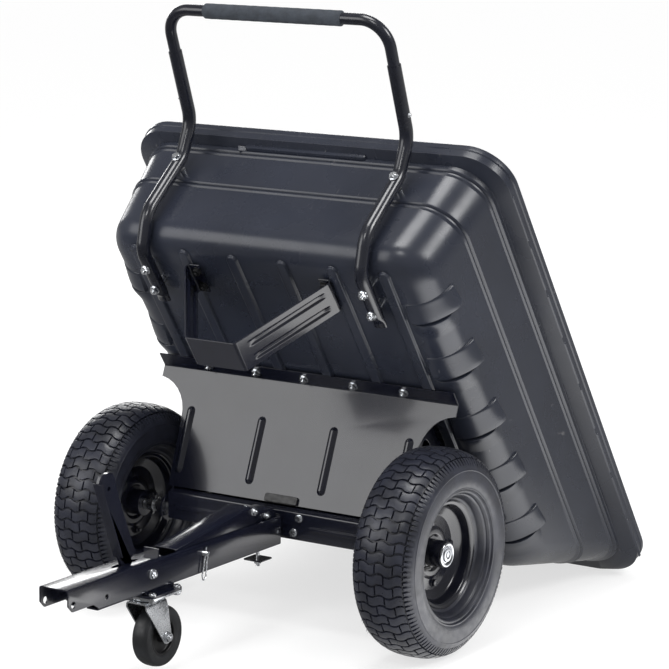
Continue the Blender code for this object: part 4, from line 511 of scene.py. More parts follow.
def blocks(sign, odd):
    # tread blocks in brick order: whole wavy grooves run across, and short slits part the blocks of each
    # row; every block is a grid of shares of its width and depth whose outer points go down to the casing
    width = 2 * tread["half"] / tread["columns"]
    cuts = -tread["half"] + width * np.arange(tread["columns"] + 1)
    if odd:
        cuts = np.concatenate([cuts[:1], cuts[:-1] + width / 2, cuts[-1:]])
    rows = np.arange(1 if odd else 0, tread["rows"], 2)
    row, column = np.meshgrid(rows, np.arange(len(cuts) - 1), indexing="ij")
    row, column = row.reshape(-1, 1, 1), column.reshape(-1, 1, 1)
    low, high = cuts[column] + tread["slot"] / 2, cuts[column + 1] - tread["slot"] / 2
    across = np.array([0, 0.022, 0.1, 0.19, 0.28, 0.36, 0.43, 0.5, 0.57, 0.64, 0.72, 0.81, 0.9, 0.978, 1])
    across = across[None, :, None]
    around = np.array([0, 0.04, 0.2, 0.5, 0.8, 0.96, 1])[None, None, :]
    inside = (across > 0) & (across < 1) & (around > 0) & (around < 1)
    along = low + (high - low) * across
    # the wave is a flattened zigzag, the same for every row, so that neighbouring rows nest
    zigzag = np.abs((along / width + 0.25) % 1 * 2 - 1) * 2 - 1
    wave = tread["wave"] * np.clip(1.7 * zigzag, -1, 1)
    pitch = 2 * pi / tread["rows"]
    gap = tread["groove"] / wheel["radius"] / pitch
    turn = (row + wave + gap / 2 + (1 - gap) * around) * pitch
    height = np.where(inside, -tread["top"], -tread["depth"] - tread["sink"])
    return patches(along, turn, height - tread["edgeDrop"] * (np.abs(around - 0.5) > 0.4), sign)


def lugs(sign, side):
    # short radial bars down each shoulder, a long and a shorter one to each tread row
    number = np.arange(lug["count"]).reshape(-1, 1, 1)
    down = np.array([0, 0.04, 0.3, 0.6, 0.93, 1])[None, :, None]
    around = np.array([-1, -0.75, 0.75, 1])[None, None, :]
    reach = np.where(number % 2 == 0, 1.0, lug["short"])
    along = side * (tread["half"] + lug["start"] + lug["length"] * reach * down)
    turn = 2 * pi * (number + 0.5) / lug["count"] + around * lug["half"] / lug["radius"]
    inside = (down > 0) & (down < 1) & (np.abs(around) < 1)
    return patches(along, turn, np.where(inside, -lug["top"] - lug["top"] * down, -lug["foot"]), sign)


def hairs(sign):
    # thin moulding hairs on the blocks, three-sided spikes, but for those that the ground has pressed flat
    dice = np.random.default_rng(hair["seed"])
    count = hair["count"]
    turn = dice.uniform(*hair["turns"], count)
    along = dice.choice(hair["lines"], count) * (tread["half"] - hair["inset"])
    along = along + dice.uniform(-hair["spread"], hair["spread"], count)
    x, r = onTyre(along, 0)
    ring = np.array(hair["ring"])
    rise = dice.uniform(*hair["rise"], count)
    lean = dice.uniform(-hair["lean"], hair["lean"], count)
    round3 = turn[:, None] + ring[:, 1] / wheel["radius"]
    base = roundWheel(x[:, None] + ring[:, 0], r[:, None] - hair["root"], round3, sign)
    tips = roundWheel(x + dice.uniform(-hair["bend"], hair["bend"], count), r + rise, turn + lean, sign)
    points = np.concatenate([base, tips[:, None, :]], axis=1).reshape(-1, 3)
    faces = np.array([(0, 1, 3), (1, 2, 3), (2, 0, 3)])[None] + 4 * np.arange(count)[:, None, None]
    return points, faces.reshape(-1, 3).tolist()


def wheelTurned(profile, sign, sides=96, closed=False):
    # a closed or open profile of (x, r) turned about the axle bar
    profile = np.asarray(profile, float)
    turn = np.linspace(0, 2 * pi, sides, endpoint=False)
    return gridPart(roundWheel(profile[:, 0, None], profile[:, 1, None], turn, sign), wrapRows=closed)


def boltHead(centre, direction, flats, height, washer, phase=0.0):
    # a washer, and on it a hexagonal head with a chamfered crown
    radius, thick = washer
    d = np.asarray(direction, float) / np.linalg.norm(direction)
    base = np.asarray(centre, float)
    disc = [(0, 0), (radius, 0), (radius, thick * 0.8), (radius - 0.0003, thick), (0, thick)]
    corner = flats / 2 / cos(pi / 6)
    head = [(0, 0), (corner, 0), (corner, height * 0.78), (corner * 0.95, height * 0.93),
            (corner * 0.86, height), (0, height)]

    def hexagon(radius, turn):
        # the distance to a hexagon's side, kept under the chamfer's circle
        side = (flats / 2) / np.cos((turn + pi / 6) % (pi / 3) - pi / 6)
        return np.minimum(radius, side)

    return [turned(disc, base, d, 40), turned(head, base + d * thick, d, 72, phase=phase, shape=hexagon)]


def threadEnd(centre, direction, radius, length):
    # a bolt's end: its radius alternates between crest and root, and a small chamfer ends it
    turns = enumerate(np.arange(0, length, radius * 0.22))
    thread = [(radius * (1, 0.90)[i % 2], along) for i, along in turns]
    return turned([(0, 0)] + thread + [(radius * 0.8, length), (0, length)], centre, direction, 28)


def domeHead(centre, direction, radius, height):
    # a carriage head: a low upright edge, then a quarter of an oval
    dome = [(radius * cos(pi / 2 * s), height * (0.12 + 0.88 * sin(pi / 2 * s)))
            for s in np.linspace(0, 1, 9)]
    return turned([(0, 0), (radius, 0)] + dome, centre, direction, 40)


def makeRim(half, way, side, sign):
    # one dished sheet with its bolts: the back face is the front face moved in by the sheet's thickness
    front = roundedPath(rimForm["corners"], rimForm["radii"], 7)
    front = np.concatenate([[front[0]], front[1:][np.linalg.norm(np.diff(front, axis=0), axis=1) > 1e-5]])
    back = front - rimForm["sheet"] * leftOf(unitAlong(front))
    parts = [wheelTurned(np.concatenate([front, back[::-1]]) * [way, 1], sign, 112, closed=True)]
    for i in range(rimBolts["count"]):
        turn = rimBolts["first"] + i * 2 * pi / rimBolts["count"]
        seat = roundWheel(way * rimBolts["seat"], rimBolts["circle"], turn, sign)
        size = rimBolts["flats"], rimBolts["height"], rimBolts["washer"]
        parts += boltHead(seat, (sign * way, 0, 0), *size, 0.3 * i)
        if way < 0:
            end = seat - np.array([sign * rimBolts["endSeat"], 0, 0])
            parts.append(threadEnd(end, (-sign, 0, 0), rimBolts["endRadius"], rimBolts["endLength"]))
    makePiece("dished_rim_%s_%s" % (half, side), parts, "rim_paint", "wheel_" + side,
              ("rim_%s_%s" % (half, side),), 38)


def makeWheel(side, sign):
    # one wheel's pieces; its hub barrel is a closed profile of (x, r) turned about the bar
    body = "wheel_" + side
    makePiece("tyre_casing_" + side, [carcass(sign)], "tyre_rubber", body, ("tyre_" + side,), 50)
    treadParts = [blocks(sign, False), blocks(sign, True), lugs(sign, 1), lugs(sign, -1), hairs(sign)]
    makePiece("tyre_tread_" + side, treadParts, "tyre_rubber", body)
    makeRim("outer", 1, side, sign)
    makeRim("inner", -1, side, sign)
    half = wheel["hubHalf"]
    tube = [(-half, 0.0125), (-half + 0.0015, 0.0250), (-half + 0.0025, 0.0255), (-0.0006, 0.0255),
            (-0.0006, 0.0262), (0.0006, 0.0262), (0.0006, 0.0255), (half - 0.0015, 0.0255), (half, 0.0248),
            (half, 0.0225), (half - 0.002, 0.0215), (half - 0.002, 0.0125)]
    barrel = wheelTurned(tube, sign, 64, closed=True)
    makePiece("hub_barrel_" + side, [barrel], "rim_paint", body, ("wheel_hub_" + side,))


for wheelSide, wheelSign in sides:
    makeWheel(wheelSide, wheelSign)
print("wheels dressed")


# Tub shell, in tub coordinates

tub = {
    "wall": 0.0045, "floorFront": -0.3415, "floorRear": 0.4905, "sideX": 0.3635,
    "sideSlope": 0.137, "frontSlope": 0.0755, "rearSlope": 0.96,
    "sideFillet": 0.055, "frontFillet": 0.045, "rearFillet": 0.060, "planRadius": 0.080,
    "rimHalf": 0.4295, "rimFront": -0.381, "rimRear": 0.7634, "rimTop": 0.288, "rimUnder": 0.279,
    "rimEase": 0.0012, "lipScale": 0.024, "lipInset": 0.92, "flareStart": 0.2458,
    "beads": (0.142, 0.231), "beadHalf": 0.0100, "beadRise": 0.0040, "stripN": 0.2470,
    "ribs": (0.057, 0.171, 0.285), "ribSpan": (-0.311, 0.478), "ribWidth": 0.024, "ribHeight": 0.0062,
}
dash = {"n": 0.2588, "sideIn": 0.0022, "sideSink": 0.0004, "frontIn": 0.0033, "frontOut": 0.0003,
        "sideStarts": np.arange(8) * 0.126 - 0.285, "sideLength": 0.112,
        "frontStarts": np.arange(4) * 0.160 - 0.3125, "frontLength": 0.145}
pad = {"places": ((-0.233, -0.175), (-0.095, -0.030), (0.063, 0.128), (0.212, 0.276), (0.359, 0.419)),
       "floorX": (0.3040, 0.3080), "top": 0.070, "rise": 0.0070, "ear": 0.0085, "crest": 0.0080,
       "edge": 0.0045, "gap": 0.012, "sink": 0.0004}
underFloor = -tub["ribHeight"] - 0.0003  # the height of the ribs' undersides, where the frame sits


def fillet(height, radius):
    # how far a fillet pulls an upright wall in at a height
    radius = np.maximum(radius, 1e-6)
    under = np.clip(radius - height, 0, None)
    return np.where(height < radius, radius - np.sqrt(np.clip(radius ** 2 - under ** 2, 0, None)), 0.0)


def rearFace(n, skin):
    # the long rear slope: a true arc from the floor, then a straight wall
    half = atan2(1, tub["rearSlope"])
    reach = tub["rearFillet"] * tan(half / 2)
    low = tub["rearFillet"] * (1 - cos(half))
    r = tub["rearFillet"] - skin
    arc = tub["floorRear"] - reach + np.sqrt(np.clip(r ** 2 - (r - (n - skin)) ** 2, 0, None))
    wall = tub["floorRear"] + tub["rearSlope"] * n - skin * hypot(1, tub["rearSlope"])
    return np.where(n - skin < low, arc, wall)


def wallRing(n, skin=0.0, lift=0.0):
    # half width, front, rear and corner radius at a height: each wall leans out by its slope and is pulled
    # in by its fillet, the skin moves it inwards and the lift outwards
    n, skin, lift = np.broadcast_arrays(np.asarray(n, float), skin, lift)
    side = tub["sideX"] + tub["sideSlope"] * n - skin - fillet(n - skin, tub["sideFillet"] - skin)
    front = tub["floorFront"] - tub["frontSlope"] * n + skin + fillet(n - skin, tub["frontFillet"] - skin)
    plan = tub["planRadius"] - skin - fillet(n - skin, tub["sideFillet"] - skin)
    return np.stack([side + lift, front - lift, rearFace(n, skin) + lift * 1.2, plan + lift, n], axis=-1)


def rimRing(share, n):
    # between the walls under the rim (share 0) and the rim's outer edge (share 1)
    share, n = np.broadcast_arrays(np.asarray(share, float), n)
    side = tub["sideX"] + tub["sideSlope"] * tub["rimUnder"]
    front = tub["floorFront"] - tub["frontSlope"] * tub["rimUnder"]
    rear = tub["floorRear"] + tub["rearSlope"] * tub["rimUnder"]
    return np.stack([side + (tub["rimHalf"] - side) * share, front + (tub["rimFront"] - front) * share,
                     rear + (tub["rimRear"] - rear) * share, tub["planRadius"] + 0.006 * share, n], axis=-1)


def roundedRings(rings, steps=20, straights=6):
    # each ring is a rounded rectangle: four quarter circles joined by straight runs
    half, front, rear, radius, n = (rings[:, i, None] for i in range(5))
    t = np.linspace(0, pi / 2, steps)
    corners = []
    for way, atRear, start in ((1, False, -pi / 2), (1, True, 0), (-1, True, pi / 2), (-1, False, pi)):
        x0 = way * (half - radius)
        u0 = rear - radius if atRear else front + radius
        corners.append((x0 + radius * np.cos(start + t), u0 + radius * np.sin(start + t)))
    share = np.linspace(0, 1, straights + 2)[1:-1]
    runs = []
    for here, after in zip(corners, corners[1:] + corners[:1]):
        runs += [here, [a[:, -1:] + (b[:, :1] - a[:, -1:]) * share for a, b in zip(here, after)]]
    x, u = (np.concatenate([run[i] for run in runs], axis=1) for i in range(2))
    return fromTub(x, u, n)


def beadRows(centre):
    # a moulded bead of two ridges, in shares of its half width and rise: each slopes up from below at about
    # 45 degrees and drops off sharply
    corners = [(-1.10, 0), (-0.86, 0.02), (-0.60, 0.70), (-0.53, 0.76), (-0.46, 0.70), (-0.40, 0.02),
               (-0.30, -0.35), (0.10, -0.35), (0.20, 0.02), (0.46, 0.70), (0.53, 0.76), (0.60, 0.70),
               (0.68, 0.02), (1.05, 0)]
    t, lift = np.array(corners).T
    return centre + t * tub["beadHalf"], lift * tub["beadRise"]


def tubShell():
    # rings up the outside, over the rim and down the inside, closed by the two floors
    start = tub["sideFillet"] * (1 - np.cos(np.linspace(0, pi / 2, 18)))
    rows = [wallRing(start)]
    for bead in tub["beads"]:
        n, lift = beadRows(bead)
        rows.append(wallRing(n, 0.0, lift))
    # above the beads the wall flares out to the lower edge of the rim's lip
    rows.append(wallRing(np.array([0.2420, 0.2440, tub["flareStart"]])))
    scale, top, wall = tub["lipScale"], tub["rimTop"], tub["wall"]
    lip = tub["lipInset"] * scale
    raw = [(-0.14 * scale, 0.2471), (lip, 0.2560), (lip, 0.2716), (scale, 0.2742), (scale, top),
           (0.06 * scale, top)]
    path = roundedPath(raw, [0, 0.0006, 0.0004, 0.0006, 0.0055, 0], 8)
    rows.append(rimRing(path[:, 0] / scale, path[:, 1]))
    turn = np.linspace(pi / 2, 0, 6)
    ease = tub["rimEase"]
    rows.append(wallRing(top - ease * (1 - np.sin(turn)), wall - ease * (1 - np.cos(turn))))
    rows.append(wallRing(np.array([0.20, 0.12, 0.075]), wall))
    low = wall + (tub["sideFillet"] - wall) * (1 - np.cos(np.linspace(pi / 2, 0, 14)))
    rows.append(wallRing(low, wall))
    return gridPart(roundedRings(np.concatenate(rows)), caps=True)


def stadiumRing(u0, u1, half, drop, steps=12):
    # a long round-ended outline, drawn in by drop
    w = half - drop
    t = np.linspace(0, pi, steps)
    u = np.concatenate([u1 - half + w * np.sin(t), u0 + half - w * np.sin(t)])
    x = np.concatenate([w * np.cos(t), -w * np.cos(t)])
    return x, u


def floorRib(x0):
    # round-ended rings that draw in as they go down
    rings = []
    for drop, height in ((-0.0008, -0.0004), (0.0003, 0.0008), (0.0007, 0.0038), (0.0013, 0.0053),
                         (0.0026, 0.0061), (0.0042, tub["ribHeight"])):
        x, u = stadiumRing(*tub["ribSpan"], tub["ribWidth"] / 2, drop)
        rings.append(fromTub(x0 + x, u, -height))
    return liddedPart(rings)


def lipDash(side, start, end):
    # a long low ridge on the lip's lower edge: its underside is a 45 degree bevel, and its ends are eased
    along = np.concatenate([start + np.linspace(0, 0.004, 5), end - np.linspace(0.004, 0, 5)])[:, None]
    ends = np.array([0, 0.7, 0.95, 1, 1, 1, 1, 0.95, 0.7, 0])[:, None]
    n = dash["n"] + np.array([-0.0026, -0.0024, 0.0006, 0.0014, 0.0026, 0.0030])
    bulge = np.array([0, 0.0003, 0.0024, 0.0026, 0.0023, 0]) * ends
    if side:
        x = side * (tub["rimHalf"] - dash["sideIn"] - dash["sideSink"] + bulge)
        return gridPart(fromTub(x, along, n), wrapCols=False)
    u = tub["rimFront"] + dash["frontIn"] + dash["frontOut"] - bulge
    return gridPart(fromTub(along, u, n), wrapCols=False)


def onFront(x, n, lift):
    # a point of the front wall, moved out by lift
    return fromTub(x, tub["floorFront"] - tub["frontSlope"] * n - lift, n)


def raisedStrip():
    # the wide raised strip in the middle of the front wall's upper bead: round-ended rings that draw in
    rings = []
    for drop, lift in ((-0.0006, -0.0006), (0.0006, 0.0040), (0.0016, 0.0066), (0.0030, 0.0070)):
        n, x = stadiumRing(-0.143, 0.137, 0.0065, drop, 4)
        rings.append(onFront(x, tub["stripN"] + n, lift))
    return liddedPart(rings)


def stripTab():
    # a small wedge at the strip's left end: its four corners rise unequally, so its face leans right
    x, n, lift = np.array([(-0.1570, 0.2440, 0.0085), (-0.1500, 0.2330, 0.0075), (-0.1375, 0.2380, 0.0035),
                           (-0.1440, 0.2490, 0.0045)]).T
    return liddedPart([onFront(x, n, rise) for rise in (-0.001, lift * 0.9, lift)])


def collar(u0, u1, way):
    # a pad wrapped over the fillet, whose rise grows from its front end to its rear end and is eased at the
    # floor and at the top; behind it a gap, and then a crest that swells and fades out
    fall = np.linspace(0, pi / 2, 14)[1:]
    floor, curve = np.zeros(4), tub["sideFillet"] * (1 - np.cos(fall))
    n = np.concatenate([floor, curve, np.linspace(0.0565, pad["top"], 5)])
    x = tub["sideX"] + tub["sideSlope"] * n - fillet(n, tub["sideFillet"])
    x[:4] = np.linspace(*pad["floorX"], 4)
    dx, dn = np.gradient(x), np.gradient(n)
    size = np.hypot(dx, dn)
    along = np.cumsum(np.hypot(np.diff(x, prepend=x[0]), np.diff(n, prepend=n[0])))
    edge = smoothStep(along, 0, pad["edge"]) * (1 - smoothStep(along, along[-1] - pad["edge"], along[-1]))
    u1 = u1 - pad["gap"]
    u = np.concatenate([u0 + np.array([0, 0.0005, 0.0012, 0.0020, 0.0035]),
                        np.linspace(u0 + 0.008, u1 - 0.003, 6),
                        u1 + np.array([-0.001, 0, 0.0006, 0.0060, 0.0066, 0.0072, 0.0090]),
                        np.linspace(u1 + 0.016, u1 + 0.050, 7)])[:, None]
    end = np.array([0, 0.12, 0.24, 0.32, 0.38, 0.44, 0.56, 0.69, 0.82, 0.93, 1, 0.96, 0.8] + [0] * 12)
    crest = np.array([0] * 15 + [0.8, 0.97, 1, 0.9, 0.72, 0.5, 0.32, 0.16, 0.05, 0])
    reach = pad["rise"] + pad["ear"] * smoothStep(along, along[-1] * 0.5, along[-1])
    bow = pad["crest"] * np.sin(pi * np.clip(along / along[-1] * 1.12, 0, 1))
    rise = reach * edge * end[:, None] + bow * crest[:, None] - pad["sink"]
    return gridPart(fromTub(way * (x + dn / size * rise), u, n - dx / size * rise), wrapCols=False)


tubParts = [tubShell()] + [floorRib(way * x) for x in tub["ribs"] for way in (1, -1)]
tubParts += [collar(u0, u1, way) for u0, u1 in pad["places"] for way in (1, -1)]
tubParts += [lipDash(way, u, u + dash["sideLength"]) for u in dash["sideStarts"] for way in (1, -1)]
tubParts += [lipDash(0, x, x + dash["frontLength"]) for x in dash["frontStarts"]]
tubParts += [raisedStrip(), stripTab()]
makePiece("moulded_tub", tubParts, "tub_plastic", "tub_frame", ("tub",))
print("tub dressed")


# Pressed plates: rounded beads on the two plates, and the saddle bracket with its pressed furrows

plate = {"foot": (0.0165, -0.0065), "sheet": 0.0025, "beadX": (0.0845, 0.2565), "beadSpan": (0.070, 0.2075),
         "beadHalf": 0.0100, "beadRise": 0.0070, "sink": 0.0002}
saddle = {"depth": 0.200, "front": -0.283, "rear": -0.213, "flat": 0.055, "footX": 0.168,
          "footLength": 0.030, "sheet": 0.003, "bend": 0.006, "furrow": 0.0030, "furrowHalf": 0.0075,
          "furrowPlaces": (-0.0165, 0.0165), "edgeEase": 0.0006}


def onPlate(x, r, d, way):
    # a point on a leaning plate: across, up the plate from the axle bar, and out from its face
    y, z = tip["axleU"] - plate["foot"][0], tip["floorOver"] + plate["foot"][1]
    c, s = z / hypot(y, z), y / hypot(y, z)
    return fromLevel(x, way * (r * s + d * c), r * c - d * s)


def plateBeads(way):
    # round-ended rings that draw in as they rise, in shares of the bead's half width and rise
    parts = []
    for x0 in plate["beadX"]:
        for side in (1, -1):
            rings = []
            for inward, height in ((0, 0), (0.04, 0.04), (0.36, 0.46), (0.72, 0.94), (0.80, 1), (0.92, 1)):
                half = plate["beadHalf"]
                x, r = stadiumRing(*plate["beadSpan"], half, half * inward, 14)
                face = plate["sheet"] - plate["sink"] + plate["beadRise"] * height
                rings.append(onPlate(side * x0 + x, r, face, way))
            parts.append(liddedPart(rings))
    return parts


def pressedSaddle():
    # one sheet folded into feet, legs and flat: both faces follow the path, and furrows run down the legs
    skin, depth, top = saddle["sheet"], saddle["depth"], underFloor - saddle["sheet"]
    end, bend = saddle["footX"] - saddle["footLength"], saddle["bend"]
    half = [(end, top), (saddle["footX"], top), (saddle["flat"], skin - depth)]
    raw = half + [(-x, n) for x, n in half[::-1]]
    bent = roundedPath(raw, [0, bend, bend, bend, bend, 0], 9)
    dense = []
    for a, b in zip(bent[:-1], bent[1:]):
        count = max(1, int(np.linalg.norm(b - a) / 0.0025))
        dense.append(a + (b - a) * np.linspace(0, 1, count, endpoint=False)[:, None])
    path = np.concatenate(dense + [bent[-1:]])
    along = unitAlong(path)
    away = leftOf(along)
    reach = (path[:, 1] + depth - skin) / (depth - skin + top)
    steep = np.abs(along[:, 1]) > 0.3
    inLeg = smoothStep(reach, 0.10, 0.19) * (1 - smoothStep(reach, 0.82, 0.91)) * steep
    width = saddle["rear"] - saddle["front"]
    u = np.concatenate([[0, 0.0006], np.linspace(0.0018, width - 0.0018, 64), [width - 0.0006, width]])
    middle = u - width / 2
    furrow = sum(1 - smoothStep(np.abs(middle - c), saddle["furrowHalf"] * 0.45, saddle["furrowHalf"])
                 for c in saddle["furrowPlaces"])
    pressed = saddle["furrow"] * inLeg[:, None] * furrow
    ease = np.where((u < 0.0003) | (u > width - 0.0003), saddle["edgeEase"], 0.0)
    outer, inner = (fromTub(path[:, 0, None] + away[:, 0, None] * level, saddle["front"] + u,
                            path[:, 1, None] + away[:, 1, None] * level)
                    for level in (skin - ease - pressed, ease - pressed))
    return gridPart(np.concatenate([outer, inner[:, ::-1]], axis=1), caps=True)


makePiece("plate_beads_front", plateBeads(-1), "frame_paint", "tub_frame")
makePiece("plate_beads_rear", plateBeads(1), "frame_paint", "tub_frame")
makePiece("pressed_saddle", [pressedSaddle()], "frame_paint", "tub_frame", ("saddle_bracket",))
print("plates pressed")


# Handle: two bent legs, the bow that slides into them and the foam grip

handle = {"legX": 0.250, "legRadius": 0.0132, "legWall": 0.0016, "bowRadius": 0.01125, "bowWall": 0.0015,
          "slope": 0.2597, "floorN": -0.0215, "footU": -0.190, "legTopU": -0.567, "bowTopU": -0.653,
          "overlap": 0.114, "corner": 0.055, "grip": 0.0148, "gripEnd": 0.0118, "gripHalf": 0.1564,
          "buttonU": -0.4695}


def bowLine(u):
    # the height of the sloping upper tubes
    return 0.245 - (u + 0.42) * handle["slope"]


def handleLeg(side, sign):
    # a swept tube whose foot is flattened: there the part of each ring along the floor's normal shrinks to
    # about half, and the part across it grows by a tenth
    floorN, footU, topU = handle["floorN"], handle["footU"], handle["legTopU"]
    line = [(footU, floorN), (-0.317, floorN), (-0.369, 0.034), (-0.383, 0.182), (-0.424, bowLine(-0.424)),
            (topU, bowLine(topU))]
    path = roundedPath(line, [0, 0.040, 0.070, 0.060, 0.060, 0], 12)
    first = np.stack([np.linspace(footU, -0.245, 14), np.full(14, floorN)], axis=1)
    path = np.concatenate([first, path[1:]])
    points = fromTub(sign * handle["legX"], path[:, 0], path[:, 1])
    tube, faces = swept(points, handle["legRadius"], (1, 0, 0), 36, handle["legWall"])
    flat = 1 - smoothStep(footU - path[:, 0], 0.010, 0.026)
    flat = np.concatenate([flat, flat[::-1]])[:, None, None]
    middle = np.concatenate([points, points[::-1]])[:, None, :]
    rel = tube.reshape(-1, 36, 3) - middle
    up = (rel @ tubUp)[..., None] * tubUp
    grid = middle + rel + flat * (-0.52 * up + 0.10 * (rel - up))
    makePiece("handle_tube_" + side, [(grid.reshape(-1, 3), faces)], "tube_paint", "tub_frame",
              ("handle_leg_" + side,), 50)


def snapButton(side, sign):
    # a round-topped pin in the leg's outer wall, with a thin ring about it
    button = fromTub(0, handle["buttonU"], bowLine(handle["buttonU"]))
    seat = button + np.array([sign * (handle["legX"] + 0.004), 0, 0])
    pin = [(0, 0), (0.0036, 0), (0.0036, 0.0110), (0.0031, 0.0122), (0.0018, 0.0129), (0, 0.0131)]
    ring = [(0.0036, 0), (0.0048, 0), (0.0048, 0.0005), (0.0036, 0.0008)]
    parts = [turned(pin, seat, (sign, 0, 0), 28),
             turned(ring, seat + np.array([sign * 0.0086, 0, 0]), (sign, 0, 0), 28, closed=True)]
    makePiece("snap_button_" + side, parts, "zinc", "tub_frame", ("handle_button_" + side,))


def smoothHandle():
    # the grip is a turned sleeve: a quarter circle at each end and faint waves along it
    for side, sign in sides:
        handleLeg(side, sign)
    legX, slope, half = handle["legX"], handle["slope"], handle["gripHalf"]
    lowU = handle["legTopU"] + handle["overlap"]
    top, low = (handle["bowTopU"], bowLine(handle["bowTopU"])), (lowU, bowLine(lowU))
    corners = [fromTub(x, *end) for x, end in ((legX, low), (legX, top), (-legX, top), (-legX, low))]
    bow = roundedPath(corners, [0, handle["corner"], handle["corner"], 0], 20)
    normal = fromTub(0, slope, 1) - fromTub(0, 0, 0)
    bowTube = swept(bow, handle["bowRadius"], normal, 36, handle["bowWall"])
    makePiece("handle_bow_tube", [bowTube], "tube_paint", "tub_frame", ("handle_bow",), 50)
    x = np.linspace(-half, half, 90)
    end = np.clip((half - np.abs(x)) / 0.0030, 0, 1)
    thick = (handle["grip"] - handle["gripEnd"]) * np.sqrt(1 - (1 - end) ** 2)
    radius = handle["gripEnd"] + thick + 0.00012 * np.sin(x * 260)
    sleeve = turned(np.stack([radius, x], axis=1), fromTub(0, *top), (1, 0, 0), 48)
    makePiece("foam_sleeve", [sleeve], "foam", "tub_frame", ("handle_grip",), 50)
    for side, sign in sides:
        snapButton(side, sign)


smoothHandle()
print("handle dressed")


# Fasteners: washers, nuts, thread ends and round heads over the plain ones of the solids

tubFasteners = {
    "plateX": np.arange(-2, 3) * 0.1145, "plateU": (0.0, 0.348), "saddleX": (-0.147, 0.147),
    "saddleU": (-0.267, -0.229), "legU": (-0.281, -0.228), "legWallN": 0.168, "crush": 0.0006,
    "nut": (0.0145, 0.0060, (0.0100, 0.0014)), "wallNut": (0.0138, 0.0058, (0.0095, 0.0012)),
    "endSeat": 0.0070, "end": (0.0034, 0.0050), "dome": (0.0094, 0.0034),
}


def floorFastener(x, u, n):
    # a nut with its washer and thread end, hung from a height under the floor
    seat = fromTub(x, u, n)
    parts = boltHead(seat, -tubUp, *tubFasteners["nut"], (x * 31 + u * 17) % 1)
    return parts + [threadEnd(seat - tubUp * tubFasteners["endSeat"], -tubUp, *tubFasteners["end"])]


def roundHead(x, u):
    # a carriage head on the tub's floor
    return domeHead(fromTub(x, u, tub["wall"]), tubUp, *tubFasteners["dome"])


def addFasteners():
    # under the floor a nut and over it a round head, at each place; two more go through the front wall
    seats, heads, dark = [], [], []
    for x in tubFasteners["plateX"]:
        for u in tubFasteners["plateU"]:
            seats += floorFastener(x, u, underFloor - plate["sheet"])
            heads.append(roundHead(x, u))
    for x in tubFasteners["saddleX"]:
        for u in tubFasteners["saddleU"]:
            dark += floorFastener(x, u, underFloor - saddle["sheet"])
            heads.append(roundHead(x, u))
    wallN, crush = tubFasteners["legWallN"], tubFasteners["crush"]
    legU = -0.369 - 0.014 * (wallN - 0.034) / 0.148 - handle["legRadius"] + crush
    face = tub["floorFront"] - tub["frontSlope"] * wallN
    for x in (-handle["legX"], handle["legX"]):
        for u in tubFasteners["legU"]:
            seats += floorFastener(x, u, handle["floorN"] - handle["legRadius"] + crush)
            heads.append(roundHead(x, u))
            seats.append(turned([(0.0072, 0.0002), (0.0072, 0.0100)], fromTub(x, u, -0.0105), tubUp, 32))
        seats += boltHead(fromTub(x, legU, wallN), -tubRear, *tubFasteners["wallNut"])
        spacer = fromTub(x, face - 0.0095, wallN)
        seats.append(turned([(0.0068, 0.0), (0.0068, 0.0100)], spacer, tubRear, 32))
        dome = fromTub(x, face + tub["wall"] + 0.0004, wallN)
        heads.append(domeHead(dome, tubRear, *tubFasteners["dome"]))
    makePiece("floor_nuts", seats, "zinc", "tub_frame", (), 30)
    makePiece("saddle_nuts", dark, "black_plastic", "tub_frame", (), 30)
    makePiece("floor_heads", heads, "zinc", "tub_frame", (), 30)


addFasteners()
print("fasteners placed")


# Axle bar, its rings and split pins

rightward = (1, 0, 0)
splitPin = {"x": 0.2905, "tilt": radians(38), "radius": 0.0010, "legs": (0.0205, 0.0185),
            "line": ((0.0008, 0.0092), (0.0042, 0.0128), (0.0034, 0.0166), (0, 0.0172)),
            "bends": (0, 0.002, 0.0022, 0.002, 0)}
axleRings = (("cross_washer", 0.2503, 0.2592, 0.0150), ("pivot_spacer", 0.2648, 0.2875, 0.0125),
             ("hub_spacer", 0.2935, 0.3172, 0.0125), ("end_washer", 0.3828, 0.3844, 0.0130))


def place(x, y, z):
    # chassis coordinates: Y from the axle bar, Z from the ground
    return np.array([x, axleY + y, z], float)


def addAxle():
    # the bar has chamfered ends; each split pin is two bent wires side by side; the rings have eased rims
    ends = [(0.0066, -0.3850), (0.0080, -0.3836), (0.0080, 0.3836), (0.0066, 0.3850)]
    bar = [turned(ends, place(0, 0, axleZ), rightward)]
    up = np.array([0, sin(splitPin["tilt"]), cos(splitPin["tilt"])])
    across = np.cross(rightward, up)
    for way in (1, -1):
        centre = place(way * splitPin["x"], 0, axleZ)
        for side, leg in zip((1, -1), splitPin["legs"]):
            line = [(splitPin["line"][0][0], -leg), *splitPin["line"]]
            loop = roundedPath([centre + across * a * side + up * b for a, b in line], splitPin["bends"], 6)
            bar.append(swept(loop, splitPin["radius"], rightward, 12))
    makePiece("axle_bar", bar, "steel_bar", "chassis", ("axle",))
    for name, x0, x1, outer in axleRings:
        ease = min(0.0006, (x1 - x0) / 4)
        profile = [(0.0083, 0), (outer - ease, 0), (outer, ease), (outer, x1 - x0 - ease),
                   (outer - ease, x1 - x0), (0.0083, x1 - x0)]
        for side, way in sides:
            ring = turned(profile, place(way * x0, 0, axleZ), (way, 0, 0), 48, True)
            makePiece("smooth_%s_%s" % (name, side), [ring], "zinc", "chassis", ("%s_%s" % (name, side),))


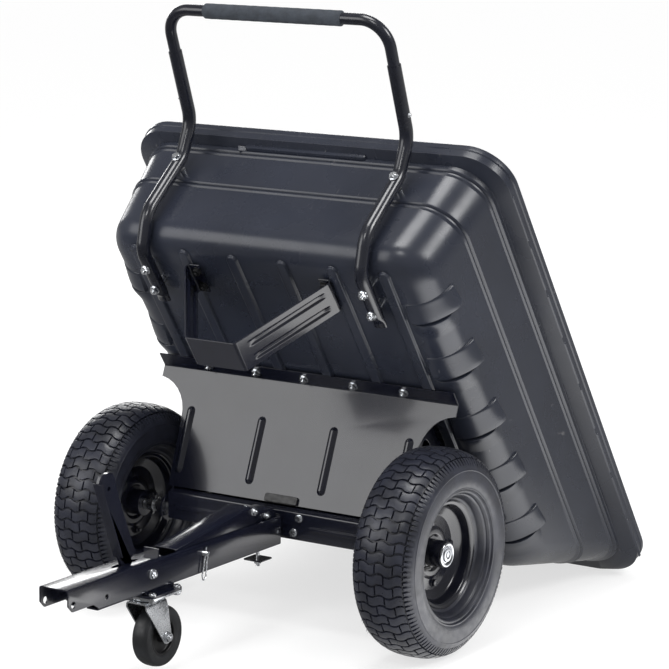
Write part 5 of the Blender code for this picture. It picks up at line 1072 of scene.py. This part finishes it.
capDome = ((0.0, 0.0058), (0.0048, 0.0058), (0.0056, 0.0040), (0.0074, 0.0040), (0.0082, 0.0060),
           (0.0104, 0.0060), (0.0128, 0.0058), (0.0140, 0.0026), (0.0168, 0.0022), (0.0180, 0.0048),
           (0.0200, 0.0056), (0.0226, 0.0054), (0.0238, 0.0046), (0.0245, 0.0030), (0.0245, 0.0006),
           (0.0222, 0.0003), (0.0, 0.0003))
valve = {"x": 0.0215, "radius": 0.0975 - 0.0085, "turn": radians(-90 - 80), "lean": radians(30),
         "stem": ((0.0, 0), (0.0076, 0), (0.0070, 0.0035), (0.0050, 0.0060), (0.0042, 0.0080),
                  (0.0040, 0.0180), (0.0046, 0.0185), (0.0046, 0.0285), (0.0038, 0.0300), (0, 0.0302))}


def capAndValve(side, sign):
    # the cap's profile is radius and height over the hub's end; the valve leans from the rim outwards
    body = "wheel_" + side
    cap = [(wheel["hubHalf"] + height, radius) for radius, height in capDome]
    makePiece("bright_cap_" + side, [wheelTurned(cap, sign, 72)], "chrome", body, ("hub_cap_" + side,))
    turn, lean = valve["turn"], valve["lean"]
    root = roundWheel(valve["x"], valve["radius"], turn, sign)
    inward = -np.array([0, cos(turn), sin(turn)])
    stem = inward * cos(lean) + np.array([sign * sin(lean), 0, 0])
    valvePart = turned(valve["stem"], root, stem, 24)
    makePiece("valve_" + side, [valvePart], "black_plastic", body, ("valve_stem_" + side,))


addAxle()
for wheelSide, wheelSign in sides:
    capAndValve(wheelSide, wheelSign)
print("axle dressed")


# Bolts, pins and clip of the drawbar

def sideBolt(y, z, half, flats, radius, washer):
    # a bolt across the drawbar: its head at the left, its nut and thread end at the right
    parts = boltHead(place(-half, y, z), (-1, 0, 0), flats, 0.0046, washer, 0.2)
    parts += boltHead(place(half, y, z), rightward, flats, 0.0048, washer, 0.5)
    return parts + [threadEnd(place(half + 0.0055, y, z), rightward, radius, 0.0040)]


tongueBolts = (("tongue_bolt", -0.118, 0.2555, 0.0263, 0.0036),
               ("bracket_bolt_upper", -0.0745, 0.238, 0.0235, 0.003),
               ("bracket_bolt_lower", -0.0455, 0.2020, 0.0235, 0.003))
lockPin = {"y": -0.290, "z": 0.212, "clipX": 0.0373, "clipTilt": radians(14), "wire": 0.0014,
           "profile": ((0, -0.0400), (0.0070, -0.0400), (0.0085, -0.0390), (0.0085, -0.0350),
                       (0.0080, -0.0340), (0.0045, -0.0335), (0.0045, 0.0425), (0.0036, 0.0438),
                       (0, 0.0438)),
           "clip": ((0, 0.0125), (0, -0.042), (0.0055, -0.0520), (0.0125, -0.042), (0.0075, -0.013),
                    (0.0115, 0.0035)),
           "clipBends": (0, 0.003, 0.0030, 0.006, 0.010, 0)}


def addDrawbarFasteners():
    # hexagonal bolts along X, Y or Z, the turned lock pin and its bent wire clip
    for name, y, z, half, radius in tongueBolts:
        bolt = sideBolt(y, z, half, radius * 3.5, radius, (radius * 2.2, 0.0010))
        makePiece("hex_" + name, bolt, "zinc", "chassis", (name,), 30)
    lever = sideBolt(-0.448, 0.207, 0.0328, 0.0145, 0.0042, (0.0098, 0.0014))
    makePiece("hex_lever_bolt", lever, "zinc", "chassis", ("lever_bolt",), 30)
    cross = []
    for x, z in ((0.0625, 0.2265), (-0.0625, 0.2265), (0.050, 0.1965), (-0.050, 0.1965)):
        cross += boltHead(place(x, -0.0166, z), (0, -1, 0), 0.0118, 0.0050, (0.0082, 0.0012), x * 9 % 1)
    makePiece("hex_cross_bolts", cross, "zinc", "chassis", (), 30)
    clamp = boltHead(place(0, -0.065, 0.1464), (0, 0, -1), 0.0132, 0.0062, (0.0092, 0.0014), 0.3)
    clamp.append(threadEnd(place(0, -0.065, 0.1390), (0, 0, -1), 0.0040, 0.0055))
    shank = [(0, 0), (0.0039, 0), (0.0039, 0.034), (0, 0.034)]
    clamp.append(turned(shank, place(0, -0.065, 0.1462), (0, 0, 1), 24))
    makePiece("hex_clamp_bolt", clamp, "zinc", "chassis", ("clamp_bolt",), 30)
    y0, z0 = lockPin["y"], lockPin["z"]
    pin = turned(lockPin["profile"], place(0, y0, z0), rightward, 40)
    makePiece("turned_lock_pin", [pin], "zinc", "lock_pin", ("lock_pin",))
    # the clip's wire is drawn level and then turned about the pin
    c, s = cos(lockPin["clipTilt"]), sin(lockPin["clipTilt"])
    line = [place(lockPin["clipX"], y0 + y * c + z * s, z0 + z * c - y * s) for y, z in lockPin["clip"]]
    wire = swept(roundedPath(line, lockPin["clipBends"], 9), lockPin["wire"], rightward, 16)
    makePiece("wire_clip", [wire], "zinc", "lock_pin", ("lock_clip",))


addDrawbarFasteners()
print("drawbar fasteners placed")


# Caster: bearing race, plate nuts, axle bolt, tyre and hub

caster = {
    "y": -0.420, "wheelY": -0.390, "wheelZ": 0.0735, "boltX": (-0.040, 0.040), "boltY": (-0.037, 0.037),
    "race": ((0.0062, 0.1491), (0.0215, 0.1491), (0.0255, 0.1500), (0.0262, 0.1512), (0.0262, 0.1536),
             (0.0248, 0.1545), (0.0246, 0.1552), (0.0262, 0.1560), (0.0262, 0.1590), (0.0250, 0.1604),
             (0.0210, 0.1607), (0.0062, 0.1607)),
    "boltTop": ((0, 0), (0.0076, 0), (0.0072, 0.0030), (0.0050, 0.0044), (0, 0.0048)),
    "shank": ((0, -0.0236), (0.0049, -0.0236), (0.0049, 0.0236), (0, 0.0236)),
    "bead": ((0.0364, 0.0150), (0.0400, 0.0166)),
    "hub": ((0.0054, 0.0199), (0.0105, 0.0199), (0.0115, 0.0190), (0.0122, 0.0075), (0.0150, 0.0062),
            (0.0280, 0.0060), (0.0312, 0.0085), (0.0318, 0.0140), (0.0330, 0.0150), (0.0362, 0.0150)),
}


def mirrored(half, middle=()):
    # a profile that starts with the mirror image of its second half
    return [(r, -x) for r, x in half] + list(middle) + list(half[::-1])


def addCaster():
    # profiles of (radius, distance along) turned about the kingpin's line and the caster's axle
    y, wheelY, z = caster["y"], caster["wheelY"], caster["wheelZ"]
    race = turned(caster["race"], place(0, y, 0), (0, 0, 1), 64, closed=True)
    makePiece("bearing_race", [race], "zinc", "chassis", ("caster_race",))
    bolts = []
    for x in caster["boltX"]:
        for dy in caster["boltY"]:
            seat = place(x, y + dy, 0.1611)
            bolts += boltHead(seat, (0, 0, -1), 0.0128, 0.0046, (0.0088, 0.0010), x * 7 % 1)
            bolts.append(turned(caster["boltTop"], place(x, y + dy, 0.1696), (0, 0, 1), 32))
    makePiece("caster_plate_nuts", bolts, "zinc", "chassis", (), 30)
    middle = place(0, wheelY, z)
    axle = boltHead(place(-0.0237, wheelY, z), (-1, 0, 0), 0.0155, 0.0052, (0.0100, 0.0012), 0.1)
    axle += boltHead(place(0.0237, wheelY, z), rightward, 0.0155, 0.0056, (0.0100, 0.0012), 0.6)
    axle.append(threadEnd(place(0.0305, wheelY, z), rightward, 0.0048, 0.0026))
    axle.append(turned(caster["shank"], middle, rightward, 24))
    makePiece("caster_axle_bolt", axle, "zinc", "caster_fork", ("caster_axle",), 30)
    # the tread is a flattened half circle
    t = np.linspace(-pi / 2, pi / 2, 25)
    crown = zip(0.0490 + 0.0090 * np.abs(np.cos(t)) ** 0.55, 0.0176 * np.sin(t))
    tyre = turned(mirrored(caster["bead"], crown), middle, rightward, 96, closed=True)
    makePiece("caster_tread", [tyre], "caster_rubber", "caster_wheel", ("caster_tyre",))
    hub = turned(mirrored(caster["hub"]), middle, rightward, 64, closed=True)
    makePiece("caster_core", [hub], "black_plastic", "caster_wheel", ("caster_hub",))


addCaster()
print("caster dressed")


# Floor and lights

# the glow values paint a reflection: the floor glows to glossy rays only, strongest beside the trailer
floorLook = {"colour": (0.94, 0.94, 0.94, 1), "roughness": 0.9, "half": 60, "white": 1.10,
             "whiteShare": 0.62, "glowPlace": (0.98, 0.12, 0), "glowReach": (0.32, 0.82), "glow": 3.6,
             "front": (-0.9, 0.5), "frontTone": 0.12, "distant": 0.50}


def mixShaders(tree, share, first, second):
    # one shader over another by a share
    mix = tree.nodes.new("ShaderNodeMixShader")
    for socket, source in zip(mix.inputs, (share, first, second)):
        tree.links.new(source, socket)
    return mix.outputs[0]


def addStage():
    # a pale matte floor, nearly white to the camera; to glossy rays only it glows, a painted reflection
    # standing in for
    # a lit studio sweep: bright beside the trailer, dimmer further off and dimmest in front
    material = bpy.data.materials.new("pale_floor")
    material.use_nodes = True
    tree = material.node_tree
    new, link = tree.nodes.new, tree.links.new
    shader = tree.nodes["Principled BSDF"]
    setInputs(shader, {"Base Color": floorLook["colour"], "Roughness": floorLook["roughness"]})
    path = new("ShaderNodeLightPath")
    coords = new("ShaderNodeTexCoord").outputs["Object"]
    distance = new("ShaderNodeVectorMath")
    distance.operation = "DISTANCE"
    distance.inputs[1].default_value = floorLook["glowPlace"]
    link(coords, distance.inputs[0])
    parted = new("ShaderNodeSeparateXYZ")
    link(coords, parted.inputs["Vector"])
    tones = floorLook["frontTone"], floorLook["distant"]
    depth = mapRange(tree, parted.outputs["Y"], floorLook["front"], tones)
    fade = mapRange(tree, distance.outputs["Value"], floorLook["glowReach"], (floorLook["glow"], 0))
    fade.interpolation_type = "SMOOTHSTEP"
    link(depth.outputs["Result"], fade.inputs["To Max"])
    # painted reflection: to glossy rays the floor glows, strongest beside the trailer, dim far off and
    # dimmest in front
    glossy = new("ShaderNodeEmission")
    link(fade.outputs["Result"], glossy.inputs["Strength"])
    white = new("ShaderNodeEmission")
    white.inputs["Strength"].default_value = floorLook["white"]
    share = new("ShaderNodeMath")
    share.operation = "MULTIPLY"
    share.inputs[1].default_value = floorLook["whiteShare"]
    link(path.outputs["Is Camera Ray"], share.inputs[0])
    seen = mixShaders(tree, share.outputs[0], shader.outputs[0], white.outputs[0])
    whole = mixShaders(tree, path.outputs["Is Glossy Ray"], seen, glossy.outputs[0])
    link(whole, tree.nodes["Material Output"].inputs["Surface"])
    mesh = bpy.data.meshes.new("floor")
    half = floorLook["half"]
    corners = [(-half, -half, 0), (half, -half, 0), (half, half, 0), (-half, half, 0)]
    mesh.from_pydata(corners, [], [(0, 1, 2, 3)])
    mesh.materials.append(material)
    floor = bpy.data.objects.new("floor", mesh)
    bpy.context.scene.collection.objects.link(floor)


softLights = {
    "leftFront": {"place": (-2.9, -3.9, 2.5), "size": (3.2, 3.0), "power": 84},
    "right": {"place": (3.6, 0.4, 3.3), "size": (1.5, 1.5), "power": 85},
    "front": {"place": (0.9, -3.6, 3.9), "size": (1.0, 0.8), "power": 32},
    "overhead": {"place": (0.0, -0.6, 4.4), "size": (1.7, 1.7), "power": 85},
    "backLeft": {"place": (-3.8, 4.2, 1.75), "size": (4.2, 1.1), "power": 95},
}
surround = {"seen": 1.0, "lighting": 0.90, "mirrored": 0.26}


def addLights():
    # soft lights aimed at the trailer's middle, and a world that is white to the camera and dim in mirrors
    aim = Vector((0, 0, 0.5))
    for name, look in softLights.items():
        data = bpy.data.lights.new(name, "AREA")
        data.shape = "RECTANGLE"
        data.size, data.size_y = look["size"]
        data.energy = look["power"]
        light = bpy.data.objects.new(name, data)
        light.location = look["place"]
        light.rotation_euler = (Vector(look["place"]) - aim).to_track_quat("Z", "Y").to_euler()
        bpy.context.scene.collection.objects.link(light)
    world = bpy.data.worlds.new("studio")
    world.use_nodes = True
    tree = world.node_tree
    background = tree.nodes["Background"]
    background.inputs["Color"].default_value = (1, 1, 1, 1)
    path = tree.nodes.new("ShaderNodeLightPath")
    dimmed = surround["lighting"], surround["mirrored"]
    lighting = mapRange(tree, path.outputs["Is Glossy Ray"], (0, 1), dimmed)
    strength = mapRange(tree, path.outputs["Is Camera Ray"], (0, 1), (0, surround["seen"]))
    tree.links.new(lighting.outputs["Result"], strength.inputs["To Min"])
    tree.links.new(strength.outputs["Result"], background.inputs["Strength"])
    bpy.context.scene.world = world
    bpy.context.scene.view_settings.view_transform = "Standard"


addStage()
addLights()
print("scene ready")
